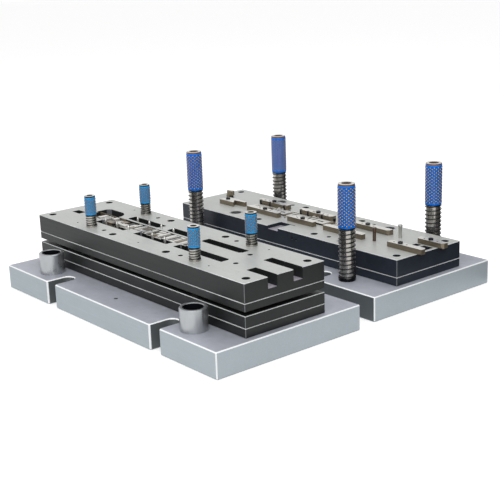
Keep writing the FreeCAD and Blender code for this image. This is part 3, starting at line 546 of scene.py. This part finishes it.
@shared_group("Ball pockets", Spacing=7.3, Step=2.8, Radius=1.8, Rows=23.0)
def ball_pockets(tree, given):
    """Marks a ring of painted shade round each ball of a cage, from the sleeve's own map.

    The map's U counts balls round the sleeve and its V counts rows. Even rows have a ball at each
    whole U and odd rows at each half. The mark is 1 within the given radius of the nearest ball
    and fades out over a fifth of it. It ends 0.6 of a row beyond the first and the last row.
    """
    balls, row = split(tree, shader_node(tree, "ShaderNodeUVMap", uv_map="Sleeve").outputs[0])[:2]
    distances = []
    for offset in (0.5, 0.0):
        along = math_node(tree, "FRACT", math_node(tree, "ADD", balls, offset))
        across = math_node(tree, "FRACT", math_node(tree, "MULTIPLY_ADD", row, 0.5, offset))
        x = math_node(tree, "MULTIPLY", math_node(tree, "SUBTRACT", along, 0.5), given["Spacing"])
        y = math_node(tree, "MULTIPLY", math_node(tree, "SUBTRACT", across, 0.5), given["Step"])
        y = math_node(tree, "MULTIPLY", y, 2.0)
        square = math_node(tree, "MULTIPLY_ADD", x, x, math_node(tree, "MULTIPLY", y, y))
        distances.append(math_node(tree, "SQRT", square))
    share = math_node(tree, "DIVIDE", math_node(tree, "MINIMUM", *distances), given["Radius"])
    mark = ranged(tree, share, 0.9, 1.1, 1.0, 0.0)
    half = math_node(tree, "MULTIPLY", math_node(tree, "SUBTRACT", given["Rows"], 1.0), 0.5)
    from_middle = math_node(tree, "ABSOLUTE", math_node(tree, "SUBTRACT", row, half))
    within = math_node(tree, "LESS_THAN", from_middle, math_node(tree, "ADD", half, ROW_BEYOND))
    return {"Pocket": math_node(tree, "MULTIPLY", mark, within)}


@shared_group("Cutter marks", Along=12.0, Across=600.0)
def cutter_marks(tree, given):
    """Fine marks that a grinder or cutter leaves, with slow changes of tone.

    The marks are noise stretched by the two scales given, along X and across it. The cloud is
    noise of two sizes, and the tone is half marks and half cloud. Height is the marks alone, for
    a bump.
    """
    place = object_place(tree)
    scale = shader_node(
        tree, "ShaderNodeCombineXYZ", {0: given["Along"], 1: given["Across"], 2: given["Across"]})
    stretched = shader_node(tree, "ShaderNodeMapping", {"Vector": place, "Scale": scale.outputs[0]})
    marks = noise(tree, stretched.outputs[0], 1.0, 5.0, 0.62)
    fine = ranged(tree, marks, 0.3, 0.7, 0.0, 1.0)
    near = ranged(tree, noise(tree, place, 75.0, 5.0, 0.7), 0.35, 0.7, 0.0, 1.0)
    far = ranged(tree, noise(tree, place, 11.0, 4.0), 0.35, 0.65, 0.0, 1.0)
    cloud = weighed(tree, near, 0.4, far)
    return {"Tone": weighed(tree, fine, 0.5, cloud), "Height": marks, "Cloud": cloud}


@shared_group("Handling marks", Size=40.0)
def handling_marks(tree, given):
    """Thin scratches and small dark specks from handling.

    Scratches are where two stretched noises, turned against each other, pass through their
    middle value. Specks are the peaks of a fine noise.
    """
    place = object_place(tree)
    lines = []
    for angle in (0.5, -0.9):
        stretched = shader_node(
            tree, "ShaderNodeMapping",
            {"Vector": place, "Rotation": (0.0, 0.3, angle), "Scale": (0.35, 2.4, 2.4)})
        clouds = noise(tree, stretched.outputs[0], given["Size"], 2.0)
        off = math_node(tree, "ABSOLUTE", math_node(tree, "SUBTRACT", clouds, 0.5))
        lines.append(ranged(tree, off, 0.0, 0.006, 1.0, 0.0))
    scratches = math_node(tree, "MAXIMUM", *lines)
    specks = ranged(tree, noise(tree, place, 420.0, 3.0), 0.64, 0.7, 0.0, 1.0)
    return {"Scratches": scratches, "Specks": specks}


def new_material(name):
    """A material with its shader ready."""
    made = bpy.data.materials.new(name)
    made.use_nodes = True
    return made, made.node_tree, made.node_tree.nodes["Principled BSDF"]


def marked_material(name, along, across, wear, smooth, rough, metallic, depth=0.0, strength=1.0):
    """A material with cutter marks at its own scales, and a relief of the depth in millimetres.

    Its roughness goes from smooth to rough with the wear, which is the marks' tone or their cloud.
    """
    made, tree, shader = new_material(name)
    marks = cutter_marks(tree, Along=along, Across=across)
    tree.links.new(ranged(tree, marks[wear], 0.0, 1.0, smooth, rough), shader.inputs["Roughness"])
    shader.inputs["Metallic"].default_value = metallic
    if depth:
        relief = {"Height": marks["Height"], "Distance": depth * MM, "Strength": strength}
        tree.links.new(shader_node(tree, "ShaderNodeBump", relief).outputs[0], shader.inputs["Normal"])
    return made, tree, shader, marks


def finish_nodes(material, *names):
    """Gives CAD nodes a material in each of their slots."""
    for name in names:
        data = NODES[name].data
        if not data.materials:
            data.materials.append(material)
        for k in range(len(data.materials)):
            data.materials[k] = material


def finish_shoe(node, colours):
    """Milled aluminium with pale cool sides, slightly darker wide faces and duller slots as painted
    shade, and bright edges as a painted highlight.

    The lower shoe's long front side is darker, as painted shade.
    """
    made, tree, shader, marks = marked_material(
        "milled aluminium " + node, 7.0, 420.0, "Tone", smooth=0.42, rough=0.62, metallic=0.2, depth=0.12,
        strength=0.35)
    centre, low, high = middle(node)
    faces = plate_faces(tree, Level=high.z - SHOE_TOP_DEPTH, Middle=centre, Half=(high - low) / 2)
    knocks = handling_marks(tree, Size=16.0)
    side = toned(tree, marks["Tone"], colours.aluminium, 0.9, 1.08)
    # Painted shade: the wide faces take a slightly darker colour than the sides.
    wide = toned(tree, marks["Cloud"], colours.aluminium_top_shade, 0.84, 1.12)
    body = mixed(tree, faces["Top"], side, wide)
    scratches = math_node(tree, "MULTIPLY", knocks["Scratches"], 0.12)
    scuffed = mixed(tree, scratches, body, shaded(colours.aluminium, 1.3))
    # Painted shade: the walls of the slots and holes take a dull dark colour.
    walled = mixed(tree, faces["Inner wall"], scuffed, colours.slot_wall_shade)
    # Painted shade: the lower shoe's long front side, facing the upper half, takes a dark colour.
    if node == "lower_shoe":
        front = math_node(tree, "LESS_THAN", true_normal(tree)[1], -FACING)
        walled = mixed(tree, front, walled, colours.front_painted_shade)
    # Painted highlight: the upper edges and upright corners take a near white colour.
    edge = math_node(tree, "MAXIMUM", faces["Upper edge"], faces["Corner"])
    tree.links.new(mixed(tree, edge, walled, colours.edge_highlight), shader.inputs["Base Color"])
    finish_nodes(made, node)


def finish_plate(word, node, depth, top, side, floor, edge, corner, metallic=0.2):
    """Steel with a ground top, darker sides and walls, its own floor colour and fine bright edges.

    What looks up is the top down to the depth below the node's highest point, and a floor below.
    The fine bright edges are a painted highlight, and the upright corners take their own colour,
    which on the plates is a dimmer painted highlight.
    """
    made, tree, shader, marks = marked_material(
        f"{word} {node}", 9.0, 520.0, "Tone", smooth=0.34, rough=0.5, metallic=metallic, depth=0.1,
        strength=0.3)
    shader.inputs["Specular IOR Level"].default_value = 0.3
    faces = plate_faces(tree, Level=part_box(node)[1].z - depth)
    knocks = handling_marks(tree, Size=22.0)
    sides = toned(tree, marks["Cloud"], side, 0.72, 1.3)
    ground = toned(tree, marks["Tone"], top, 0.86, 1.12)
    scratches = math_node(tree, "MULTIPLY", knocks["Scratches"], 0.3)
    specks = math_node(tree, "MULTIPLY", knocks["Specks"], 0.35)
    scuffed = mixed(tree, scratches, ground, shaded(top, 0.7))
    specked = mixed(tree, specks, scuffed, shaded(top, 0.45))
    with_top = mixed(tree, faces["Top"], sides, specked)
    with_floor = mixed(tree, faces["Floor"], with_top, toned(tree, marks["Cloud"], floor, 0.8, 1.15))
    # Painted highlight: the upper edges take the edge colour, broken by the tone.
    broken_highlight = toned(tree, marks["Tone"], edge, 0.3, 1.0)
    edged = mixed(tree, faces["Upper edge"], with_floor, broken_highlight)
    # The upright corners take the corner colour, a dim painted highlight on the plates.
    tree.links.new(mixed(tree, faces["Corner"], edged, corner), shader.inputs["Base Color"])
    finish_nodes(made, node)


def steel_material(name, shade, roughness, metallic, along=40.0, across=900.0):
    """Bare steel with fine marks along one way and a slow change of tone."""
    made, tree, shader, marks = marked_material(
        name, along, across, "Cloud", smooth=0.8 * roughness, rough=1.25 * roughness, metallic=metallic,
        depth=0.06, strength=0.25)
    tree.links.new(toned(tree, marks["Tone"], shade, 0.86, 1.14), shader.inputs["Base Color"])
    return made


def rail_material(colours):
    """Hardened rails: ground light tops and straw tinted sides."""
    made, tree, shader, marks = marked_material(
        "straw tinted rail", 30.0, 800.0, "Tone", smooth=0.3, rough=0.46, metallic=0.55, depth=0.08,
        strength=0.3)
    looks_up = math_node(tree, "GREATER_THAN", true_normal(tree)[2], FACING)
    side = toned(tree, marks["Tone"], colours.straw_steel, 0.72, 1.3)
    top = toned(tree, marks["Tone"], colours.bright_steel, 0.92, 1.15)
    tree.links.new(mixed(tree, looks_up, side, top), shader.inputs["Base Color"])
    return made


def post_material(colours):
    """Ground post steel above a painted black shadow on the collar, which ends at the springs' feet."""
    made, tree, shader, marks = marked_material(
        "ground post", *ROUND_MARKS, "Cloud", smooth=0.17, rough=0.28, metallic=0.9, depth=0.06,
        strength=0.25)
    collar_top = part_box("post_spring_1")[0].z + COLLAR_MARGIN
    # Painted shadow: the collar below the springs' feet is painted black.
    collar = math_node(tree, "LESS_THAN", split(tree, object_place(tree))[2], collar_top)
    body = toned(tree, marks["Tone"], colours.post_steel, 0.86, 1.14)
    tree.links.new(mixed(tree, collar, body, colours.black_steel), shader.inputs["Base Color"])
    return made


def bush_material(colours):
    """Turned bush steel with a bore painted dark, as painted shade.

    The bore is nearer to the bush's own axis than the middle of its wall. The four bushes stand
    alike about the middle of their node's box.
    """
    made, tree, shader, marks = marked_material(
        "turned bush", *ROUND_MARKS, "Cloud", smooth=0.26, rough=0.34, metallic=0.8, depth=0.04,
        strength=0.08)
    centre, low, high = middle("guide_bushes")
    axis = (high - low) / 2 - Vector((BUSH_RADIUS, BUSH_RADIUS, 0.0))
    quarter = vector_node(tree, "ABSOLUTE", vector_node(tree, "SUBTRACT", object_place(tree), centre))
    from_axis = vector_node(tree, "SUBTRACT", quarter, axis)
    reach = vector_node(tree, "LENGTH", vector_node(tree, "MULTIPLY", from_axis, (1.0, 1.0, 0.0)))
    # Painted shade: the bore is painted near black.
    bore_shade_mask = math_node(tree, "LESS_THAN", reach, BUSH_BORE_RADIUS + BORE_MARGIN)
    body = toned(tree, marks["Tone"], colours.bush_steel, 0.93, 1.07)
    oiled = shaded(colours.black_steel, 2.5)
    tree.links.new(mixed(tree, bore_shade_mask, body, oiled), shader.inputs["Base Color"])
    return made


def row_step(low, high, rim, rows):
    """The height from one row of balls to the next, between the plain rims of a cage."""
    return (high.z - low.z - 2 * rim) / (rows - 1)


def cage_material(name, node, shade, pocket, rows, per_row, rim, ring):
    """Blue cage: a satin finish, a dark ring of painted shade round each ball and slightly paler wear.

    The balls' spacing is the sleeve's girth over the balls in a row.
    """
    made, tree, shader, marks = marked_material(
        name, 900.0, 30.0, "Cloud", smooth=0.34, rough=0.5, metallic=0.1)
    shader.inputs["Specular IOR Level"].default_value = 0.15
    low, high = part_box(node)
    spacing = HALF_TURN * (high.x - low.x) / per_row
    step = row_step(low, high, rim, rows)
    holes = ball_pockets(
        tree, Spacing=spacing / MM, Step=step / MM, Radius=ring / MM, Rows=float(rows))
    body = toned(tree, marks["Tone"], shade, 0.82, 1.2)
    # Painted shade: a dark navy ring round each ball.
    tree.links.new(mixed(tree, holes["Pocket"], body, pocket), shader.inputs["Base Color"])
    return made


class STAMPING_DIE_OT_plates(bpy.types.Operator):
    """Finish the shoes, the plates and everything flat that stays as the CAD has it"""

    bl_idname = "stamping_die.plates"
    bl_label = "Plates and shoes"

    def execute(self, context):
        colours = context.scene.die_finishes
        for name in ("lower_shoe", "upper_shoe"):
            finish_shoe(name, colours)
        # The edge and corner colours are painted highlights on the chamfers.
        edge, corner, floor = colours.edge_highlight, colours.corner_highlight, colours.pocket_floor
        oxide, blued, ground = colours.oxide_side, colours.oxide_blue, colours.ground_top
        plates = (
            ("stripper_plate", ground, oxide), ("stripper_backing_plate", oxide, oxide),
            ("punch_plate", oxide, oxide), ("punch_backing_plate", oxide, oxide),
            ("die_plate", ground, blued), ("die_backing_plate", blued, blued))
        for name, top, side in plates:
            finish_plate("steel of", name, TOP_DEPTH, top, side, floor, edge, corner)
        shade, straw = colours.bright_steel, colours.straw_steel
        for name, depth in INSERT_TOP_DEPTHS:
            finish_plate("steel of", name, depth, shade, oxide, straw, edge, oxide, 0.5)
        bright = steel_material("bright insert steel", shade, 0.28, 0.7)
        finish_nodes(bright, "punches", "pilots", "die_dowels", "stripper_dowels")
        dull = shaded(colours.bush_steel, 0.8)
        finish_nodes(steel_material("die bush steel", dull, 0.3, 0.8), "die_bushes")
        rail = rail_material(colours)
        finish_nodes(rail, "entry_guide_block", "feed_stop")
        for number in FOUR:
            finish_nodes(rail, f"front_rail_{number}", f"rear_rail_{number}")
        black = steel_material("black oxide", colours.black_steel, 0.36, 0.5)
        # The strip pins' black also stands for the shade deep in the rails' notches, as painted shade.
        finish_nodes(
            black, "die_plate_screws", "stripper_screws", "rail_screws", "strip_pins", "stripper_bolts")
        oiled = steel_material("oiled lifter", colours.oiled_lifter, 0.3, 0.4)
        finish_nodes(oiled, "guide_lifter_1")
        finish_nodes(steel_material("ground lifter", shaded(shade, 0.8), 0.25, 0.8), "guide_lifter_2")
        return {"FINISHED"}


class STAMPING_DIE_OT_tooling(bpy.types.Operator):
    """Build the small blocks and rings that work the strip, on the stripper's and the die's inserts"""

    bl_idname = "stamping_die.tooling"
    bl_label = "Strip tooling"

    def blocks(self, name, table, origin, seat, body, material, slot):
        """One piece of blocks, each standing from above its seat up to the height in the table."""
        rows = np.array(table, float) * MM
        foot = np.full(len(rows), seat + TOOLING_LIFT)
        low = np.stack((rows[:, 0] + origin[0], rows[:, 2] + origin[1], foot), 1)
        high = np.stack((rows[:, 1] + origin[0], rows[:, 3] + origin[1], rows[:, 4]), 1)
        piece(name, block_shape(low, high, BLOCK_BEVEL), material, body)

    def execute(self, context):
        colours = context.scene.die_finishes
        steels = {
            "bright": (steel_material("ground tooling", colours.bright_steel, 0.28, 0.5), "insert_steel"),
            "straw": (steel_material("straw tooling", colours.straw_steel, 0.34, 0.5), "rail_steel"),
            "black": (steel_material("black tooling", colours.black_steel, 0.4, 0.3), "black_steel")}
        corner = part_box("stripper_inserts")[0]
        for word, table in STRIPPER_BLOCKS.items():
            self.blocks(f"stripper_{word}_tooling", table, corner, corner.z, "stripper", *steels[word])
        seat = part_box("die_inserts")[0].z
        for word, table in DIE_BLOCKS.items():
            self.blocks(f"die_{word}_tooling", table, (0.0, 0.0), seat, "lower_die", *steels[word])
        places = [(x * MM, y * MM, 0.0) for x, y in DIE_RINGS]
        ring = turned_ring(np.array(RING_SECTION) * MM, (0.0, 0.0), RING_SEGMENTS)
        material, slot = steels["bright"]
        piece("die_ring_tooling", repeated(*ring, places), material, "lower_die")
        return {"FINISHED"}


class STAMPING_DIE_OT_guides(bpy.types.Operator):
    """Finish the guide posts, bushes and caps"""

    bl_idname = "stamping_die.guides"
    bl_label = "Posts, bushes and caps"

    def execute(self, context):
        colours = context.scene.die_finishes
        finish_nodes(post_material(colours), *(f"guide_post_{number}" for number in FOUR))
        inner = steel_material("ground inner post", colours.post_steel, 0.22, 0.9, *ROUND_MARKS)
        finish_nodes(inner, "inner_posts")
        finish_nodes(bush_material(colours), "guide_bushes")
        bore = colours.black_steel
        for name, side in (("post_caps", colours.cap_side), ("inner_post_caps", bore)):
            finish_plate("turned", name, TOP_DEPTH, colours.bright_steel, side, bore, side, side, 0.3)
        return {"FINISHED"}


class STAMPING_DIE_OT_ball_cages(bpy.types.Operator):
    """Build the blue ball cages with their rows of balls"""

    bl_idname = "stamping_die.ball_cages"
    bl_label = "Ball cages"

    def map_sleeve(self, sleeve, segments, low, rim, step, per_row, start):
        """The sleeve's map: U counts balls round it from the first ball, V counts rows above the first."""
        mesh = sleeve.data
        corner = np.empty(len(mesh.loops), np.int32)
        mesh.loops.foreach_get("vertex_index", corner)
        height = np.empty(len(mesh.vertices) * 3, np.float32)
        mesh.vertices.foreach_get("co", height)
        column = (corner % segments).reshape(-1, 4)
        wraps = (column.max(1) == segments - 1)[:, None] & (column == 0)
        column = np.where(wraps, segments, column).ravel()
        row = (height[2::3][corner] - low - rim) / step
        flat = np.stack((column / segments * per_row - start, row), 1).astype(np.float32)
        mesh.uv_layers.new(name="Sleeve").data.foreach_set("uv", flat.ravel())

    def build(self, node, slot, cage, balls, wall_share, rows, per_row, rim, ball_radius, start):
        """One cage: a thin turned sleeve with broken rims, and balls in staggered rows.

        Row k of the balls stands at the rim plus k steps. Its first ball is turned from the X axis
        by the start, a share of a spacing, and by half a spacing more in every other row. The
        balls' centres lie inside the sleeve's wall, so they stand out of it.
        """
        centre, low, high = middle(node)
        outer = (high.x - low.x) / 2
        wall = outer * wall_share
        inner = outer - wall
        edge = wall * RIM_BEVEL_SHARE
        profile = (
            (inner, low.z), (outer - edge, low.z), (outer, low.z + edge), (outer, high.z - edge),
            (outer - edge, high.z), (inner, high.z))
        segments = SEGMENTS_PER_BALL * per_row
        step = row_step(low, high, rim, rows)
        sleeve = piece(node + "_sleeve", turned_ring(profile, centre, segments), cage, node)
        self.map_sleeve(sleeve, segments, low.z, rim, step, per_row, start)
        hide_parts(node)
        row = np.repeat(np.arange(rows), per_row)
        angle = FULL_TURN * (np.tile(np.arange(per_row), rows) + start + 0.5 * (row % 2)) / per_row
        height = low.z + rim + step * row
        reach = outer - wall / 2 + ball_radius * BALL_OUT_SHARE
        places = np.stack(
            (centre.x + reach * np.cos(angle), centre.y + reach * np.sin(angle), height), 1)
        shape = repeated(*small_ball(ball_radius), places)
        piece(node + "_balls", shape, balls, node, 60.0)

    def execute(self, context):
        colours = context.scene.die_finishes
        sizes = context.scene.guide_sizes
        kinds = (
            ("ball_cage", "cage_blue", "large cage blue", colours.cage_blue, "tan ball", colours.ball_tan,
             sizes.cage_rows, sizes.cage_balls, sizes.cage_rim, sizes.ball_radius, LARGE_CAGE),
            ("inner_cage", "inner_cage_blue", "inner cage blue", colours.inner_blue, "brown ball",
             colours.ball_brown, sizes.inner_rows, sizes.inner_balls, sizes.inner_rim,
             sizes.inner_ball_radius, INNER_CAGE))
        cages = []
        for word, slot, name, blue, ball_name, ball_shade, rows, per_row, rim, radius, shares in kinds:
            wall_share, ring_share, start = shares
            cage = cage_material(
                name, word + "_1", blue, colours.pocket_shade, rows, per_row, rim, radius * ring_share)
            balls = steel_material(ball_name, ball_shade, 0.4, 0.1)
            cages.append((word, slot, cage, balls, wall_share, rows, per_row, rim, radius, start))
        for number in FOUR:
            for word, *rest in cages:
                self.build(f"{word}_{number}", *rest)
        return {"FINISHED"}


class STAMPING_DIE_OT_springs(bpy.types.Operator):
    """Build the round wire springs in the places of their CAD coils"""

    bl_idname = "stamping_die.springs"
    bl_label = "Springs"

    def build(self, node, body, joint, steel, spring, wire, turns):
        """One spring in the place of its CAD coil."""
        mean_radius, free, pressed = spring
        centre, low, high = middle(node)
        points, faces, ends = coil_shape(centre, low.z, high.z, mean_radius * MM, wire, turns)
        made = piece(node + "_wire", (points, faces), steel, body, 60.0, ends)
        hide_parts(node)
        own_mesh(made)

    def build_pressure_springs(self, steel):
        """The four springs that push the stripper out, at the corners of their node's box."""
        low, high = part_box("pressure_springs")
        coils = []
        ends = []
        for x in (low.x + PRESSURE_INSET, high.x - PRESSURE_INSET):
            for y in (low.y + PRESSURE_INSET, high.y - PRESSURE_INSET):
                points, faces, open_ends = coil_shape(
                    (x, y), low.z, high.z, PRESSURE_RADIUS, PRESSURE_WIRE, PRESSURE_TURNS)
                ends += [end + len(points) * len(coils) for end in open_ends]
                coils.append((points, faces))
        made = piece("pressure_springs_wire", joined(coils), steel, "upper_die", 60.0, ends)
        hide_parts("pressure_springs")
        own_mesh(made)

    def execute(self, context):
        sizes = context.scene.guide_sizes
        steel = steel_material("oiled spring wire", context.scene.die_finishes.spring_steel, 0.3, 0.8)
        for number in FOUR:
            self.build(
                f"post_spring_{number}", "lower_die", f"ball_cage_{number}_slide", steel, POST_SPRING,
                sizes.wire, sizes.coil_turns)
            self.build(
                f"inner_spring_{number}", "stripper", f"inner_cage_{number}_slide", steel, INNER_SPRING,
                sizes.inner_wire, sizes.inner_turns)
        for number in (1, 2):
            self.build(
                f"lifter_spring_{number}", "lower_die", f"guide_lifter_{number}_slide", steel,
                LIFTER_SPRING, LIFTER_WIRE, LIFTER_TURNS)
        self.build_pressure_springs(steel)
        return {"FINISHED"}


class STAMPING_DIE_OT_studio(bpy.types.Operator):
    """Set the floor, the light and the camera"""

    bl_idname = "stamping_die.studio"
    bl_label = "Studio"

    def sheet(self, name, points, faces, material):
        """A sheet of the studio, which isn't part of the die."""
        mesh = bpy.data.meshes.new(name)
        mesh.from_pydata(points.reshape(-1, 3).tolist(), [], faces.tolist())
        mesh.materials.append(material)
        made = bpy.data.objects.new(name, mesh)
        bpy.context.scene.collection.objects.link(made)
        return made

    def matt_material(self, name):
        """A dull material of the studio."""
        made, tree, shader = new_material(name)
        shader.inputs["Roughness"].default_value = 0.9
        return made, tree, shader

    def seen(self, tree, *more_rays):
        """1 for what the camera sees itself, in a mirror or by more kinds of ray, and 0 for light."""
        path = tree.nodes.new("ShaderNodeLightPath").outputs
        share = path["Is Camera Ray"]
        for ray in ("Is Glossy Ray", *more_rays):
            share = math_node(tree, "MAXIMUM", share, path[ray])
        return share

    def floor(self, studio):
        """A flat grid of quads just below the shoes, with a white finish that keeps shadows."""
        steps = np.linspace(-studio.floor_half, studio.floor_half, FLOOR_LINES)
        x, y = np.meshgrid(steps, steps, indexing="ij")
        made, tree, shader = self.matt_material("white studio floor")
        seen = self.seen(tree)
        shade = mixed(tree, seen, FLOOR_SHADE_IN_LIGHT, FLOOR_SHADE_SEEN)
        tree.links.new(shade, shader.inputs["Base Color"])
        glow = shader_node(
            tree, "ShaderNodeEmission",
            {"Color": (1.0, 1.0, 1.0), "Strength": math_node(tree, "MULTIPLY", seen, studio.floor_glow)})
        both = shader_node(tree, "ShaderNodeAddShader", {0: shader.outputs[0], 1: glow.outputs[0]})
        tree.links.new(both.outputs[0], tree.nodes["Material Output"].inputs["Surface"])
        points = np.stack((x, y, np.full_like(x, -FLOOR_DROP)), -1)
        self.sheet("studio_floor", points, grid_faces(FLOOR_LINES, FLOOR_LINES)[:, ::-1], made)

    def screen(self, name):
        """A studio screen, bent like a page at the floor, that only reflections see.

        At each angle from start to end it lies on the floor from its near to its far reach and
        then stands up to its height, so that the round steel has something darker to reflect.
        """
        angle = np.radians(np.linspace(*SCREEN_ANGLES, SCREEN_COLUMNS))
        reach = np.array((SCREEN_NEAR, SCREEN_FAR, SCREEN_FAR))
        height = np.array((SCREEN_LIFT, SCREEN_LIFT, SCREEN_HEIGHT))
        x = reach * np.cos(angle)[:, None]
        y = reach * np.sin(angle)[:, None] + SCREEN_MIDDLE_Y
        made, _, shader = self.matt_material(name)
        shader.inputs["Base Color"].default_value = (*SCREEN_SHADE, 1.0)
        points = np.stack((x, y, np.broadcast_to(height, x.shape)), -1)
        screen = self.sheet(name, points, grid_faces(SCREEN_COLUMNS, 3), made)
        screen.visible_camera = False
        screen.visible_diffuse = False
        screen.visible_shadow = False

    def lamp(self, name, place, size, power):
        """A soft square lamp that looks at the die."""
        data = bpy.data.lights.new(name, "AREA")
        data.size = size
        data.energy = power
        made = bpy.data.objects.new(name, data)
        way = Vector(LAMP_AIM) - Vector(place)
        made.matrix_world = Matrix.Translation(place) @ way.to_track_quat("-Z", "Y").to_matrix().to_4x4()
        bpy.context.scene.collection.objects.link(made)

    def sky(self, studio):
        """An even sky: white where it is seen, weaker where it lights."""
        world = bpy.data.worlds.new("studio sky")
        world.use_nodes = True
        tree = world.node_tree
        back = tree.nodes["Background"]
        back.inputs["Color"].default_value = (1.0, 1.0, 1.0, 1.0)
        seen = self.seen(tree, "Is Transmission Ray")
        tree.links.new(ranged(tree, seen, 0.0, 1.0, studio.sky, 1.0), back.inputs["Strength"])
        bpy.context.scene.world = world

    def camera(self, studio):
        """The camera at the photograph's angle, from its way round, height and roll."""
        azimuth, elevation, roll = studio.azimuth, studio.elevation, studio.roll
        flat = math.cos(elevation)
        back = Vector((math.sin(azimuth) * flat, -math.cos(azimuth) * flat, math.sin(elevation)))
        right = (-back).cross(Vector((0, 0, 1))).normalized()
        up = right.cross(-back)
        side = right * math.cos(roll) + up * math.sin(roll)
        head = up * math.cos(roll) - right * math.sin(roll)
        data = bpy.data.cameras.new("photo_camera")
        data.lens = studio.lens
        data.sensor_width = SENSOR_WIDTH
        made = bpy.data.objects.new("photo_camera", data)
        turn = Matrix((side, head, back)).transposed().to_4x4()
        made.matrix_world = Matrix.Translation(CAMERA_PLACE) @ turn
        bpy.context.scene.collection.objects.link(made)
        bpy.context.scene.camera = made

    def execute(self, context):
        studio = context.scene.die_studio
        self.floor(studio)
        self.screen("dark_screen")
        self.sky(studio)
        self.lamp("key_lamp", *KEY_LAMP, studio.key)
        self.lamp("top_lamp", *TOP_LAMP, studio.top)
        self.camera(studio)
        context.scene.view_settings.view_transform = "Standard"
        return {"FINISHED"}


class STAMPING_DIE_PT_looks(bpy.types.Panel):
    """The steps of dressing the die, in order"""

    bl_idname = "STAMPING_DIE_PT_looks"
    bl_label = "Stamping Die"
    bl_space_type = "VIEW_3D"
    bl_region_type = "UI"
    bl_category = "Stamping Die"

    def draw(self, context):
        for operator in OPERATORS:
            self.layout.operator(operator.bl_idname)
        for settings in (context.scene.die_finishes, context.scene.guide_sizes, context.scene.die_studio):
            column = self.layout.column()
            for key in settings.__annotations__:
                column.prop(settings, key)


OPERATORS = (
    STAMPING_DIE_OT_plates, STAMPING_DIE_OT_tooling, STAMPING_DIE_OT_guides,
    STAMPING_DIE_OT_ball_cages, STAMPING_DIE_OT_springs, STAMPING_DIE_OT_studio)
CLASSES = (DieFinishes, GuideSizes, StudioSettings, *OPERATORS, STAMPING_DIE_PT_looks)


def register():
    for kind in CLASSES:
        bpy.utils.register_class(kind)
    bpy.types.Scene.die_finishes = PointerProperty(type=DieFinishes)
    bpy.types.Scene.guide_sizes = PointerProperty(type=GuideSizes)
    bpy.types.Scene.die_studio = PointerProperty(type=StudioSettings)


def unregister():
    del bpy.types.Scene.die_studio
    del bpy.types.Scene.guide_sizes
    del bpy.types.Scene.die_finishes
    for kind in reversed(CLASSES):
        bpy.utils.unregister_class(kind)


def main():
    register()
    for operator in OPERATORS:
        group, step = operator.bl_idname.split(".")
        getattr(getattr(bpy.ops, group), step)()


if __name__ == "__main__":
    main()
